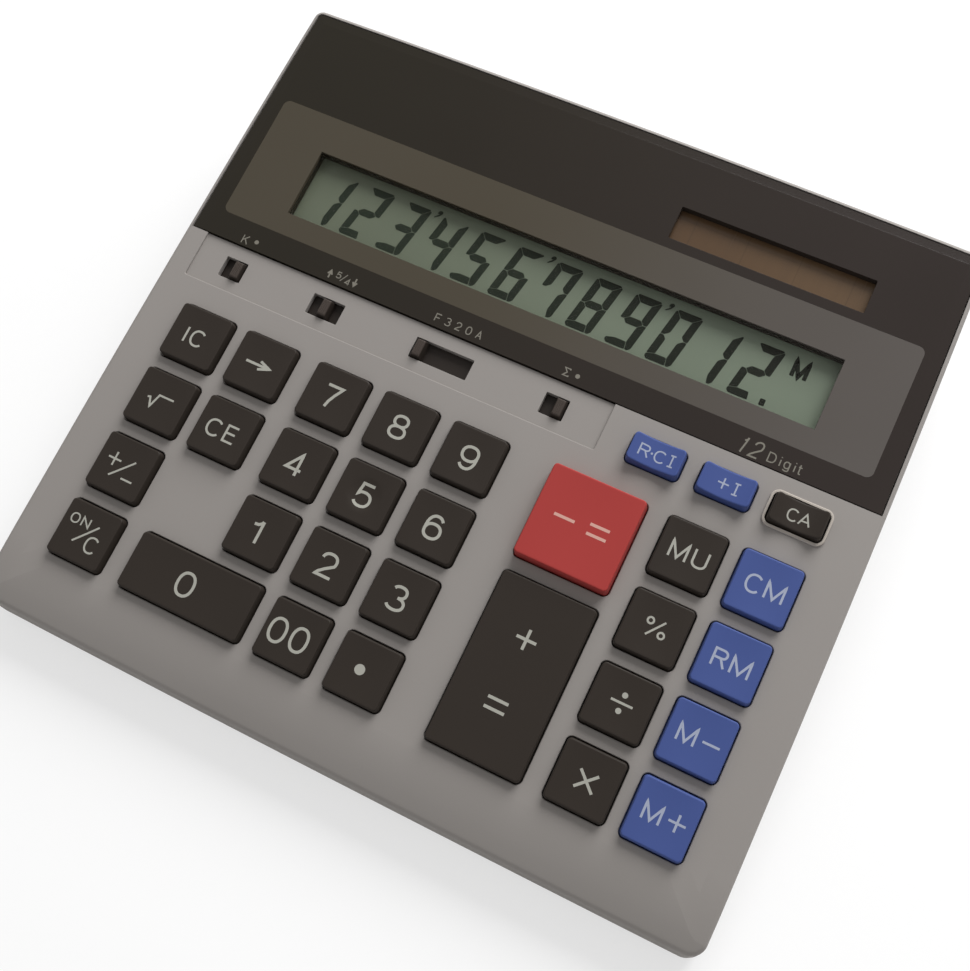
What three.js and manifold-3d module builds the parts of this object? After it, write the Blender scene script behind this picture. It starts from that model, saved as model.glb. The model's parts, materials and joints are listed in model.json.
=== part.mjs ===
// A desktop calculator with a sloping deck: an upper and a lower case, a dark display panel,
// keys on a rubber contact mat, slide switches, and a coin cell behind a sliding cover.
// Millimetres. X runs to the right, Y to the rear, Z up. The origin is under the middle of the
// case, on the surface that the four feet stand on.
//
// Most pieces lie in the deck's own frame: its origin is the middle of the deck's front edge,
// y runs up the slope and z stands square to the deck, with z = 0 on the deck's surface.

import * as THREE from "three";
import { mergeVertices } from "three/addons/utils/BufferGeometryUtils.js";
import Module from "manifold-3d";

const wasm = await Module();
wasm.setup();

// Fits

const gap = 0.3; // between pieces that touch
const overrun = 1; // how far a cutter runs past the face it cuts

// Keys, seen square to the deck

const keyWidth = 14.9;
const keyDepth = 14.9;
const keyHeight = 2.2; // above the deck
const keyDraft = 0.2; // how far each side leans in
const keyEdge = 0.4; // chamfer round the top
const keyCorner = 1.2; // corner radius in plan
const keyWall = 1.3;
const keyRoof = 1.6;
const keyTravel = 1.8;
const wellClearance = 0.3; // between a key and its well
const flangeReach = 0.9; // the lip under the deck that keeps a key in
const flangeThickness = 1.2;
const stemRadius = 2.4;
const stemDrop = 0.5; // how far a stem reaches below its flange
const lowKeyWidth = 13.5;
const lowKeyDepth = 7.5;
const lowKeyHeight = 3.4; // the low keys stand higher than the square ones
const wideKeyWidth = 24.3;
const sumKeyDepth = 43.4;
const minusKeyHeight = 3.8; // stands out above its neighbours

// Gaps of the keypad, from left to right and from front to rear

const leftMargin = 11.6; // from the side of the case to the first key
const rightMargin = 12.1;
const functionGap = 3.85;
const numberGap = 4.1;
const functionToNumberGap = 6;
const numberToSumGap = 12.1;
const sumToMemoryGap = 5.6;
const lowKeyGap = 4.4;
const frontMargin = 17.1;
const rowGap = 3.97;
const lowRowGap = 7.75; // between the last full row and the row of low keys
const deckRearMargin = 4.65; // from the low keys to the display panel

// Display panel

const panelDepth = 70.9;
const panelRim = 1.1; // width of the case's rim round the panel
const bezelThickness = 2.1;
const bezelBevelWidth = 2.4;
const bezelBevelDrop = 0.8;
const lensWidth = 177.4;
const lensDepth = 35.1;
const lensThickness = 0.9;
const lensFromFront = 7.5;
const lensCorner = 1.5;
const windowWidth = 145.1;
const windowDepth = 19.3;
const windowFromLensFront = 5.8;
const solarWindowWidth = 51.4;
const solarWindowDepth = 9.2;
const solarFromLens = 3;
const solarInset = 0.5; // from the right end of the display window
const panelFloor = 2; // thickness of the case under the bezel
const panelFloorLap = 1.3; // how far that floor runs under the deck
const collarWall = 1.8; // of the bezel's collar round the display window

// Case

const deckSlope = THREE.MathUtils.degToRad(7);
const frontHeight = 14; // from the table to the deck's front edge
const sideTaper = 1.7; // how far each side comes in at the rear
const frontBow = 0.4;
const rearBow = 0.85;
const frontCorner = 4;
const rearCorner = 2.4;
const deckEdge = 1.2; // rounding round the deck
const caseWall = 2.2;
const deckThickness = 2.4;
const seamHeight = 8; // where the two halves meet
const seamLip = 1.4; // how far the lower half's lip stands over the seam
const lipWall = 1.1;
const floorThickness = 2;
const footRise = 1.5; // how far the feet hold the lower case off the table
const floorChamfer = 1.2;

// Switch bar

const barDrop = 0.7; // how far the bar lies below the deck
const barFromSide = 6.4;
const barToLowKeys = 7.6;
const barDepth = 12.7;
const slotDepth = 5.6;
const slotFromPanel = 6.5; // from the slots' middle to the panel
const knobWidth = 3;
const knobTopWidth = 2.2;
const knobProud = 1.4; // above the bar
const detentPitch = 2.7;
const longDetentPitch = 3.1;
const sliderLip = 1.5; // how far the slider reaches under the slot's long edges
const sliderLap = 0.8; // how far it still covers the slot's end when it has slid all the way
const sliderPlate = 1.2;
const sliderBlockShare = 0.7; // depth of the slider's foot as a share of its plate

// Guard rim round the top right key

const guardWidth = 0.7;
const guardHeight = 0.8;

// Boards and mat

const matThickness = 1;
const matMargin = 1.5; // past the outer keys
const domeRadius = 4.4;
const domeTopRadius = 3;
const domeRest = 1; // height that is left of a pressed dome
const boardThickness = 1.6;
const boardMargin = 1.5; // past the mat and the display
const boardClearance = 0.5; // between the board and the screw bosses
const chipRadius = 7;
const chipHeight = 1.2;

// Display stack

const lcdWidth = 154;
const lcdDepth = 26;
const lcdThickness = 2.2;
const lcdDrop = 3.6; // from the deck's surface to the glass
const lcdClearance = 0.4;
const connectorDepth = 2.6;
const connectorInset = 1.2; // from the rear edge of the glass
const holderWall = 3.5;
const holderLedge = 3;
const solarMargin = 2.2; // how far the cell reaches past its window
const solarThickness = 1;

// Coin cell and its compartment

const cellRadius = 10;
const cellThickness = 3.2;
const cellStep = 1; // of its upper rim
const cellFromRear = 15.5; // from the rear of the case to the middle of the cell
const cellOffset = 40; // from the middle of the case
const coverThickness = 1.3;
const coverTongue = 1.5;
const coverTongueThickness = 0.8;
const compartmentWall = 2.5;
const compartmentRoof = 1.2;
const contactThickness = 0.4;
const contactWidth = 6;
const contactLength = 14;

// Feet, screws, bosses and ribs

const footRadius = 6;
const footSeat = 0.8; // depth of its recess
const footFromSide = 15;
const footFromEnd = 15;
const screwHeadRadius = 2.4;
const screwHeadHeight = 1.6;
const screwShankRadius = 1.2;
const screwShankLength = 7.5;
const screwHeadDepth = 0.8; // how deep the head lies in its seat
const bossRadius = 2.8;
const bossFromSide = 3.6; // from the inside of the wall to a boss's axis
const screwFromFront = 8.5;
const screwFromRear = 9;
const seatWall = 1.3;
const ribThickness = 1.8;
const ribShares = [0.13, 0.4, 0.7]; // places of the ribs along the board
const ribWidthShare = 0.8; // of the board's width

// Facets

const cornerSteps = 3;
const keyCornerSteps = 1;
const deckEdgeSteps = 2;
const edgeSteps = 5;
const roundSides = 16;
const bossSides = 10;
const domeSides = 8;

// Keypad layout, worked out from the sizes above

const numberPitch = keyWidth + numberGap;
const functionPitch = keyWidth + functionGap;
const rowPitch = keyDepth + rowGap;
const keypadWidth =
  7 * keyWidth +
  wideKeyWidth +
  2 * functionGap +
  2 * numberGap +
  functionToNumberGap +
  numberToSumGap +
  sumToMemoryGap;
const bodyWidth = leftMargin + keypadWidth + rightMargin;
const halfBody = bodyWidth / 2;

const columnOne = -halfBody + leftMargin + keyWidth / 2;
const columnTwo = columnOne + functionPitch;
const numberOne = columnTwo + keyWidth + functionToNumberGap;
const numberTwo = numberOne + numberPitch;
const numberThree = numberTwo + numberPitch;
const sumColumn = numberThree + keyWidth / 2 + numberToSumGap + wideKeyWidth / 2;
const memoryOne = sumColumn + wideKeyWidth / 2 + sumToMemoryGap + keyWidth / 2;
const memoryTwo = memoryOne + functionPitch;
const keypadRight = memoryTwo + keyWidth / 2;

const rowOne = frontMargin + keyDepth / 2;
const rowTwo = rowOne + rowPitch;
const rowThree = rowTwo + rowPitch;
const rowFour = rowThree + rowPitch;
const keypadRear = rowFour + keyDepth / 2;
const lowRow = keypadRear + lowRowGap + lowKeyDepth / 2;
const panelFront = lowRow + lowKeyDepth / 2 + deckRearMargin;
const bodyDepth = panelFront + panelDepth + panelRim;

const lowThree = keypadRight - lowKeyWidth / 2;
const lowTwo = lowThree - lowKeyWidth - lowKeyGap;
const lowOne = lowTwo - lowKeyWidth - lowKeyGap;

const sumKeyCentre = frontMargin + sumKeyDepth / 2;
const minusKeyFront = frontMargin + sumKeyDepth + rowGap;
const minusKeyDepth = keypadRear - minusKeyFront;
const minusKeyCentre = minusKeyFront + minusKeyDepth / 2;

const black = "key_black";
const blue = "key_blue";
const red = "key_red";

function keyAt(name, x, y, colour = black, width = keyWidth, depth = keyDepth, height = keyHeight) {
  return { name, x, y, colour, width, depth, height };
}

function lowKeyAt(name, x, colour) {
  return keyAt(name, x, lowRow, colour, lowKeyWidth, lowKeyDepth, lowKeyHeight);
}

const zeroWidth = keyWidth + numberPitch;
const keys = [
  keyAt("key_on_clear", columnOne, rowOne),
  keyAt("key_zero", numberOne - numberPitch / 2, rowOne, black, zeroWidth),
  keyAt("key_double_zero", numberTwo, rowOne),
  keyAt("key_point", numberThree, rowOne),
  keyAt("key_multiply", memoryOne, rowOne),
  keyAt("key_memory_plus", memoryTwo, rowOne, blue),
  keyAt("key_sign", columnOne, rowTwo),
  keyAt("key_one", numberOne, rowTwo),
  keyAt("key_two", numberTwo, rowTwo),
  keyAt("key_three", numberThree, rowTwo),
  keyAt("key_divide", memoryOne, rowTwo),
  keyAt("key_memory_minus", memoryTwo, rowTwo, blue),
  keyAt("key_square_root", columnOne, rowThree),
  keyAt("key_clear_entry", columnTwo, rowThree),
  keyAt("key_four", numberOne, rowThree),
  keyAt("key_five", numberTwo, rowThree),
  keyAt("key_six", numberThree, rowThree),
  keyAt("key_percent", memoryOne, rowThree),
  keyAt("key_memory_recall", memoryTwo, rowThree, blue),
  keyAt("key_item_count", columnOne, rowFour),
  keyAt("key_backspace", columnTwo, rowFour),
  keyAt("key_seven", numberOne, rowFour),
  keyAt("key_eight", numberTwo, rowFour),
  keyAt("key_nine", numberThree, rowFour),
  keyAt("key_mark_up", memoryOne, rowFour),
  keyAt("key_memory_clear", memoryTwo, rowFour, blue),
  keyAt("key_plus_equals", sumColumn, sumKeyCentre, black, wideKeyWidth, sumKeyDepth),
  keyAt("key_minus_equals", sumColumn, minusKeyCentre, red, wideKeyWidth, minusKeyDepth, minusKeyHeight),
  lowKeyAt("key_count_recall", lowOne, blue),
  lowKeyAt("key_count_plus", lowTwo, blue),
  lowKeyAt("key_clear_all", lowThree, black),
];
const guardedKey = keys.at(-1);

// Heights in the deck's frame

const flangeTop = -deckThickness - gap;
const flangeBottom = flangeTop - flangeThickness;
const stemBottom = flangeBottom - stemDrop;
const domeTop = stemBottom - gap;
const matTop = domeTop - keyTravel - domeRest;
const matBottom = matTop - matThickness;
const boardTop = matBottom - gap;
const boardBottom = boardTop - boardThickness;
const pocketFloor = -bezelThickness - gap;
const panelUnderside = pocketFloor - panelFloor;
const bezelUnderside = -bezelThickness;

// Display places in the deck's frame

const lensFront = panelFront + lensFromFront;
const lensRear = lensFront + lensDepth;
const lensY = (lensFront + lensRear) / 2;
const windowFront = lensFront + windowFromLensFront;
const windowY = windowFront + windowDepth / 2;
const solarX = windowWidth / 2 - solarInset - solarWindowWidth / 2;
const solarY = lensRear + solarFromLens + solarWindowDepth / 2;
const lcdTop = -lcdDrop;
const lcdBottom = lcdTop - lcdThickness;
const holderOpeningWidth = lcdWidth + 2 * lcdClearance;
const holderOpeningDepth = lcdDepth + 2 * lcdClearance;
const holderTop = panelUnderside - gap;
const holderBottom = boardTop + gap;
const holderWidth = holderOpeningWidth + 2 * holderWall;
const holderDepth = holderOpeningDepth + 2 * holderWall;
const connectorY = windowY + lcdDepth / 2 - connectorInset - connectorDepth / 2;

// Board and mat places

const matLeft = columnOne - keyWidth / 2 - matMargin;
const matRight = keypadRight + matMargin;
const matFront = frontMargin - matMargin;
const matRear = keypadRear + matMargin;
const matLowLeft = lowOne - lowKeyWidth / 2 - matMargin;
const matLowRear = lowRow + lowKeyDepth / 2 + matMargin;
const boardFront = matFront - boardMargin;
const boardRear = windowY + holderDepth / 2 + boardMargin;

// Heights over the table

const floorBottom = footRise;
const floorTop = footRise + floorThickness;
const ceilingHeight = 2 * frontHeight + bodyDepth; // above everything

// Solids

const Manifold = wasm.Manifold;

function solid(geometry) {
  const bare = geometry.clone();
  bare.deleteAttribute("normal");
  bare.deleteAttribute("uv");
  const merged = mergeVertices(bare);
  return new Manifold(
    new wasm.Mesh({
      numProp: 3,
      vertProperties: merged.attributes.position.array,
      triVerts: new Uint32Array(merged.index.array),
    }),
  );
}

function geometryOf(body) {
  const mesh = body.getMesh();
  const geometry = new THREE.BufferGeometry();
  geometry.setAttribute("position", new THREE.BufferAttribute(mesh.vertProperties, 3));
  geometry.setIndex(new THREE.BufferAttribute(mesh.triVerts, 1));
  geometry.computeVertexNormals();
  return geometry;
}

function block(left, right, front, rear, bottom, top) {
  const geometry = new THREE.BoxGeometry(right - left, rear - front, top - bottom);
  geometry.translate((left + right) / 2, (front + rear) / 2, (bottom + top) / 2);
  return solid(geometry);
}

function centredBlock(x, y, width, depth, bottom, top) {
  return block(x - width / 2, x + width / 2, y - depth / 2, y + depth / 2, bottom, top);
}

function upright(x, y, radius, bottom, top, sides = roundSides, topRadius = radius) {
  const geometry = new THREE.CylinderGeometry(topRadius, radius, top - bottom, sides);
  geometry.rotateX(Math.PI / 2);
  geometry.translate(x, y, (bottom + top) / 2);
  return solid(geometry);
}

// Rings of equal count, from the lowest up, counter-clockwise seen from above.
function loft(rings) {
  const count = rings[0].length;
  const top = (rings.length - 1) * count;
  const faces = [];
  for (let ring = 0; ring < rings.length - 1; ring++) {
    for (let i = 0; i < count; i++) {
      const a = ring * count + i;
      const b = ring * count + ((i + 1) % count);
      faces.push(a, b, b + count, a, b + count, a + count);
    }
  }
  const flat = rings[0].map((p) => new THREE.Vector2(p.x, p.y));
  for (const [a, b, c] of THREE.ShapeUtils.triangulateShape(flat, [])) {
    faces.push(c, b, a, top + a, top + b, top + c);
  }
  const geometry = new THREE.BufferGeometry();
  const places = rings.flat().flatMap((p) => [p.x, p.y, p.z]);
  geometry.setAttribute("position", new THREE.Float32BufferAttribute(places, 3));
  geometry.setIndex(faces);
  return solid(geometry);
}

function arc(x, y, radius, start, steps) {
  const points = [];
  for (let i = 0; i <= steps; i++) {
    const angle = start + ((Math.PI / 2) * i) / steps;
    points.push(new THREE.Vector2(x + radius * Math.cos(angle), y + radius * Math.sin(angle)));
  }
  return points;
}

function roundedOutline(x, y, width, depth, radius) {
  const reachX = width / 2 - radius;
  const reachY = depth / 2 - radius;
  return [
    ...arc(x + reachX, y - reachY, radius, -Math.PI / 2, keyCornerSteps),
    ...arc(x + reachX, y + reachY, radius, 0, keyCornerSteps),
    ...arc(x - reachX, y + reachY, radius, Math.PI / 2, keyCornerSteps),
    ...arc(x - reachX, y - reachY, radius, Math.PI, keyCornerSteps),
  ];
}

function raise(outline, z) {
  return outline.map((p) => new THREE.Vector3(p.x, p.y, z));
}

function roundedBlock(x, y, width, depth, radius, bottom, top) {
  const outline = roundedOutline(x, y, width, depth, radius);
  return loft([raise(outline, bottom), raise(outline, top)]);
}

// The case in plan, on the deck

function sideAt(y) {
  const share = THREE.MathUtils.clamp((y - rowTwo) / (bodyDepth - rowTwo), 0, 1);
  return halfBody - sideTaper * share * share;
}

function frontAt(x) {
  return frontBow * (x / halfBody) ** 2;
}

function rearAt(x) {
  return bodyDepth - rearBow * (x / halfBody) ** 2;
}

function casePlan(inset) {
  const front = Math.max(frontCorner - inset, gap);
  const rear = Math.max(rearCorner - inset, gap);
  const frontX = sideAt(0) - inset - front;
  const rearX = sideAt(bodyDepth) - inset - rear;
  const frontY = frontAt(frontX) + inset + front;
  const rearY = rearAt(rearX) - inset - rear;
  const points = [];
  for (let i = 1; i < edgeSteps; i++) {
    const x = THREE.MathUtils.lerp(-frontX, frontX, i / edgeSteps);
    points.push(new THREE.Vector2(x, frontAt(x) + inset));
  }
  points.push(...arc(frontX, frontY, front, -Math.PI / 2, cornerSteps));
  for (let i = 1; i < edgeSteps; i++) {
    const y = THREE.MathUtils.lerp(frontY, rearY, i / edgeSteps);
    points.push(new THREE.Vector2(sideAt(y) - inset, y));
  }
  points.push(...arc(rearX, rearY, rear, 0, cornerSteps));
  for (let i = 1; i < edgeSteps; i++) {
    const x = THREE.MathUtils.lerp(rearX, -rearX, i / edgeSteps);
    points.push(new THREE.Vector2(x, rearAt(x) - inset));
  }
  points.push(...arc(-rearX, rearY, rear, Math.PI / 2, cornerSteps));
  for (let i = 1; i < edgeSteps; i++) {
    const y = THREE.MathUtils.lerp(rearY, frontY, i / edgeSteps);
    points.push(new THREE.Vector2(-sideAt(y) + inset, y));
  }
  points.push(...arc(-frontX, frontY, front, Math.PI, cornerSteps));
  return points;
}

// Between the deck's frame and the table's

const slopeUp = Math.sin(deckSlope);
const slopeAlong = Math.cos(deckSlope);
const plumb = new THREE.Vector3(0, slopeUp, slopeAlong); // straight up, in the deck's frame

const deckMatrix = new THREE.Matrix4()
  .makeRotationX(deckSlope)
  .setPosition(0, 0, frontHeight);

function heightOf(p) {
  return frontHeight + p.y * slopeUp + p.z * slopeAlong;
}

// The case's plumb wall, brought in by an inset, cut by the table's plane at a height.
function wallAtHeight(inset, height) {
  return raise(casePlan(inset), -deckEdge).map((p) =>
    p.clone().addScaledVector(plumb, height - heightOf(p)),
  );
}

// The same wall, cut by a plane that lies square to the deck's normal.
function wallAtDeck(inset, z) {
  return raise(casePlan(inset), -deckEdge).map((p) =>
    p.clone().addScaledVector(plumb, (z - p.z) / slopeAlong),
  );
}

function tableOutline(inset, height) {
  return wallAtHeight(inset, height).map((p) => p.clone().applyMatrix4(deckMatrix));
}

// A cylinder that stands plumb on the table, given in the deck's frame.
function plumbCylinder(x, tableY, radius, bottom, top) {
  const geometry = new THREE.CylinderGeometry(radius, radius, top - bottom, bossSides);
  geometry.rotateX(Math.PI / 2);
  geometry.translate(x, tableY, (bottom + top) / 2);
  geometry.applyMatrix4(deckMatrix.clone().invert());
  return solid(geometry);
}

// Screw places, over the table

const caseFront = deckEdge * slopeUp;
const caseRear = bodyDepth * slopeAlong + deckEdge * slopeUp;
const screwLines = [
  { y: caseFront + screwFromFront, deckY: screwFromFront },
  { y: (caseFront + caseRear) / 2, deckY: bodyDepth / 2 },
  { y: caseRear - screwFromRear, deckY: bodyDepth - screwFromRear },
];
const screwPlaces = screwLines.flatMap(({ y, deckY }) =>
  [-1, 1].map((side) => ({
    x: side * (sideAt(deckY) - caseWall - bossFromSide),
    y,
  })),
);
const boardHalf =
  sideAt(bodyDepth / 2) - caseWall - bossFromSide - bossRadius - boardClearance;
const screwSeat = floorBottom + screwHeadDepth + screwHeadHeight + gap;
const seatTop = screwSeat + seatWall;
const bossBottom = seatTop + gap;
const screwTip = screwSeat - gap + screwShankLength;

// Switches

const barLeft = -halfBody + barFromSide;
const barRight = lowOne - lowKeyWidth / 2 - barToLowKeys;
const barFront = panelFront - barDepth;
const slotY = panelFront - slotFromPanel;
const barSurface = -barDrop;
const sliderTop = flangeTop;
const sliderBottom = sliderTop - sliderPlate;

// The places are shares of the bar's length; steps are the detents to the left and right.
const switches = [
  { name: "knob_constant", share: 0.095, pitch: detentPitch, left: 1, right: 0 },
  { name: "knob_rounding", share: 0.331, pitch: detentPitch, left: 1, right: 1 },
  { name: "knob_decimals", share: 0.617, pitch: longDetentPitch, left: 0, right: 4 },
  { name: "knob_grand_total", share: 0.884, pitch: detentPitch, left: 1, right: 0 },
].map((item) => {
  const steps = item.left + item.right;
  const travel = steps * item.pitch;
  const slotWidth = travel + knobWidth + 2 * gap;
  const plateWidth = slotWidth + travel + 2 * sliderLap;
  const middle = THREE.MathUtils.lerp(barLeft, barRight, item.share);
  const knobX = middle + ((item.left - item.right) / 2) * item.pitch;
  return { ...item, slotWidth, plateWidth, middle, knobX };
});

// Upper case

function upperCaseOutside() {
  const rings = [wallAtHeight(0, seamHeight + gap)];
  for (let i = 0; i <= deckEdgeSteps; i++) {
    const angle = ((Math.PI / 2) * i) / deckEdgeSteps;
    const inset = deckEdge * (1 - Math.cos(angle));
    rings.push(raise(casePlan(inset), -deckEdge * (1 - Math.sin(angle))));
  }
  return loft(rings);
}

function upperCaseHollow() {
  return loft([
    wallAtHeight(caseWall, seamHeight - overrun),
    wallAtDeck(caseWall, -deckThickness),
  ]);
}

function keyWell(key) {
  return roundedBlock(
    key.x,
    key.y,
    key.width + 2 * wellClearance,
    key.depth + 2 * wellClearance,
    keyCorner + wellClearance,
    -deckThickness - overrun,
    guardHeight + overrun,
  );
}

function guardRim(key) {
  const reach = 2 * (wellClearance + guardWidth);
  return roundedBlock(
    key.x,
    key.y,
    key.width + reach,
    key.depth + reach,
    keyCorner + wellClearance + guardWidth,
    -deckThickness / 2,
    guardHeight,
  );
}

function panelPocket() {
  const outline = casePlan(panelRim);
  const whole = loft([raise(outline, pocketFloor), raise(outline, overrun)]);
  const reach = halfBody + overrun;
  return whole.intersect(
    block(-reach, reach, panelFront, bodyDepth, pocketFloor, 2 * overrun),
  );
}

function makeUpperCase() {
  const outside = upperCaseOutside();
  const underPanel = block(
    -halfBody,
    halfBody,
    panelFront - panelFloorLap,
    bodyDepth,
    panelUnderside,
    -deckThickness,
  ).intersect(outside);
  let body = outside.subtract(upperCaseHollow()).add(underPanel);
  for (const { x, y } of screwPlaces) {
    const boss = plumbCylinder(x, y, bossRadius, bossBottom, ceilingHeight);
    const bore = plumbCylinder(
      x,
      y,
      screwShankRadius + gap,
      bossBottom - overrun,
      screwTip + gap,
    );
    body = body.add(boss.intersect(outside)).subtract(bore);
  }
  body = body.subtract(panelPocket());
  // Room for the display's holder, also where it is wide enough to meet the side walls.
  body = body.subtract(
    centredBlock(
      0,
      windowY,
      holderWidth + 2 * gap,
      holderDepth + 2 * gap,
      holderBottom - gap,
      panelUnderside,
    ),
  );
  body = body.subtract(
    centredBlock(
      0,
      windowY,
      holderOpeningWidth,
      holderOpeningDepth,
      panelUnderside - overrun,
      pocketFloor + overrun,
    ),
  );
  body = body.subtract(
    centredBlock(
      solarX,
      solarY,
      solarWindowWidth + 2 * (solarMargin + gap),
      solarWindowDepth + 2 * (solarMargin + gap),
      pocketFloor - solarThickness - gap,
      pocketFloor + overrun,
    ),
  );
  body = body.subtract(
    block(barLeft, barRight, barFront, panelFront + gap, barSurface, overrun),
  );
  for (const { middle, slotWidth } of switches) {
    body = body.subtract(
      centredBlock(middle, slotY, slotWidth, slotDepth, -deckThickness - overrun, overrun),
    );
  }
  body = body.add(guardRim(guardedKey));
  for (const key of keys) {
    body = body.subtract(keyWell(key));
  }
  return body;
}

// Keys

function keyRing(key, inset, z) {
  const corner = Math.max(keyCorner - inset, keyEdge / 2);
  return raise(
    roundedOutline(key.x, key.y, key.width - 2 * inset, key.depth - 2 * inset, corner),
    z,
  );
}

// The places that have a stem and a dome: two on a key as long as the zero key or longer.
function stemPlaces(key) {
  const long = Math.max(key.width, key.depth);
  if (long < zeroWidth) {
    return [{ x: key.x, y: key.y }];
  }
  const reach = long / 4;
  const across = key.width > key.depth ? 1 : 0;
  return [-reach, reach].map((shift) => ({
    x: key.x + shift * across,
    y: key.y + shift * (1 - across),
  }));
}

function makeKey(key) {
  const flange = -flangeReach;
  let body = loft([
    keyRing(key, flange, flangeBottom),
    keyRing(key, flange, flangeTop),
    keyRing(key, 0, flangeTop),
    keyRing(key, 0, 0),
    keyRing(key, keyDraft, key.height - keyEdge),
    keyRing(key, keyDraft + keyEdge, key.height),
  ]);
  body = body.subtract(
    loft([
      keyRing(key, keyWall, flangeBottom - overrun),
      keyRing(key, keyWall, key.height - keyRoof),
    ]),
  );
  for (const { x, y } of stemPlaces(key)) {
    body = body.add(
      upright(x, y, stemRadius, stemBottom, key.height - keyRoof / 2, domeSides),
    );
  }
  return body;
}

// Slide switches

// The plate covers its slot wherever the knob stands, so that no light or dust gets in.
function makeKnob({ knobX, plateWidth }) {
  const plateDepth = slotDepth + 2 * sliderLip;
  const knobDepth = slotDepth - 2 * gap;
  const plate = centredBlock(knobX, slotY, plateWidth, plateDepth, sliderBottom, sliderTop);
  const foot = centredBlock(
    knobX,
    slotY,
    knobWidth,
    plateDepth * sliderBlockShare,
    boardTop + gap,
    sliderTop,
  );
  const corner = gap;
  const knob = loft([
    raise(roundedOutline(knobX, slotY, knobWidth, knobDepth, corner), sliderTop - gap),
    raise(roundedOutline(knobX, slotY, knobWidth, knobDepth, corner), barSurface),
    raise(
      roundedOutline(knobX, slotY, knobTopWidth, knobDepth - 2 * corner, corner),
      barSurface + knobProud,
    ),
  ]);
  return plate.add(foot).add(knob);
}

// Display panel

function bezelRing(inset, z) {
  return raise(casePlan(panelRim + gap + inset), z);
}

function makeBezel() {
  const front = panelFront + gap;
  const whole = loft([
    bezelRing(0, bezelUnderside),
    bezelRing(0, -bezelBevelDrop),
    bezelRing(bezelBevelWidth, 0),
  ]);
  let body = whole.intersect(
    block(-halfBody, halfBody, front, bodyDepth, bezelUnderside - overrun, overrun),
  );
  body = body.subtract(
    roundedBlock(
      0,
      lensY,
      lensWidth + 2 * gap,
      lensDepth + 2 * gap,
      lensCorner + gap,
      -lensThickness - gap,
      overrun,
    ),
  );
  const collarBottom = lcdTop + gap;
  const collar = centredBlock(
    0,
    windowY,
    windowWidth + 2 * collarWall,
    windowDepth + 2 * collarWall,
    collarBottom,
    bezelUnderside + lensThickness / 2,
  );
  body = body.add(collar).subtract(
    centredBlock(0, windowY, windowWidth, windowDepth, collarBottom - overrun, overrun),
  );
  return body.subtract(
    centredBlock(
      solarX,
      solarY,
      solarWindowWidth,
      solarWindowDepth,
      bezelUnderside - overrun,
      overrun,
    ),
  );
}

function makeLens() {
  return roundedBlock(0, lensY, lensWidth, lensDepth, lensCorner, -lensThickness, 0);
}

function makeLcd() {
  return centredBlock(0, windowY, lcdWidth, lcdDepth, lcdBottom, lcdTop);
}

function makeSolarCell() {
  return centredBlock(
    solarX,
    solarY,
    solarWindowWidth + 2 * solarMargin,
    solarWindowDepth + 2 * solarMargin,
    pocketFloor - solarThickness,
    pocketFloor,
  );
}

function makeLcdHolder() {
  let body = centredBlock(0, windowY, holderWidth, holderDepth, holderBottom, holderTop);
  body = body.subtract(
    centredBlock(
      0,
      windowY,
      holderOpeningWidth,
      holderOpeningDepth,
      lcdBottom - gap,
      holderTop + overrun,
    ),
  );
  const slotWidth = lcdWidth - 2 * holderLedge + 2 * gap;
  body = body.subtract(
    centredBlock(
      0,
      connectorY,
      slotWidth,
      connectorDepth + 2 * gap,
      holderBottom - overrun,
      holderTop,
    ),
  );
  const openFront = windowY - lcdDepth / 2 + holderLedge;
  const openRear = connectorY - connectorDepth / 2 - holderLedge;
  return body.subtract(
    block(-slotWidth / 2, slotWidth / 2, openFront, openRear, holderBottom - overrun, holderTop),
  );
}

function makeLcdConnector() {
  return centredBlock(
    0,
    connectorY,
    lcdWidth - 2 * holderLedge,
    connectorDepth,
    boardTop + gap,
    lcdBottom - gap,
  );
}

// Mat and board

function makeKeyMat() {
  let body = block(matLeft, matRight, matFront, matRear, matBottom, matTop).add(
    block(matLowLeft, matRight, keypadRear, matLowRear, matBottom, matTop),
  );
  for (const { x, y } of keys.flatMap(stemPlaces)) {
    const foot = matTop - matThickness / 2;
    body = body.add(upright(x, y, domeRadius, foot, domeTop, domeSides, domeTopRadius));
  }
  return body;
}

function makeBoard() {
  const plate = block(-boardHalf, boardHalf, boardFront, boardRear, boardBottom, boardTop);
  const chipTop = boardBottom + boardThickness / 2;
  const chip = upright(0, windowY, chipRadius, boardBottom - chipHeight, chipTop);
  return plate.add(chip);
}

// Lower case, in the table's frame

function lowerCaseOutside() {
  return loft([
    tableOutline(floorChamfer, floorBottom),
    tableOutline(0, floorBottom + floorChamfer),
    tableOutline(0, seamHeight),
  ]);
}

const cellX = cellOffset;
const cellY = caseRear - cellFromRear;
const cellBottom = floorBottom + coverThickness + coverTongueThickness + gap;
const cellTop = cellBottom + cellThickness;
const roofUnderside = cellTop + contactThickness + 2 * gap;
const compartmentHalf = cellRadius + contactThickness + 2 * gap;
const compartmentFront = cellY - compartmentHalf;
const compartmentRear = cellY + compartmentHalf;
const coverHalf = compartmentHalf - 2 * gap;
const tongueHalf = coverHalf + coverTongue;
const ledgeTop = floorBottom + coverThickness - gap;

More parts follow.
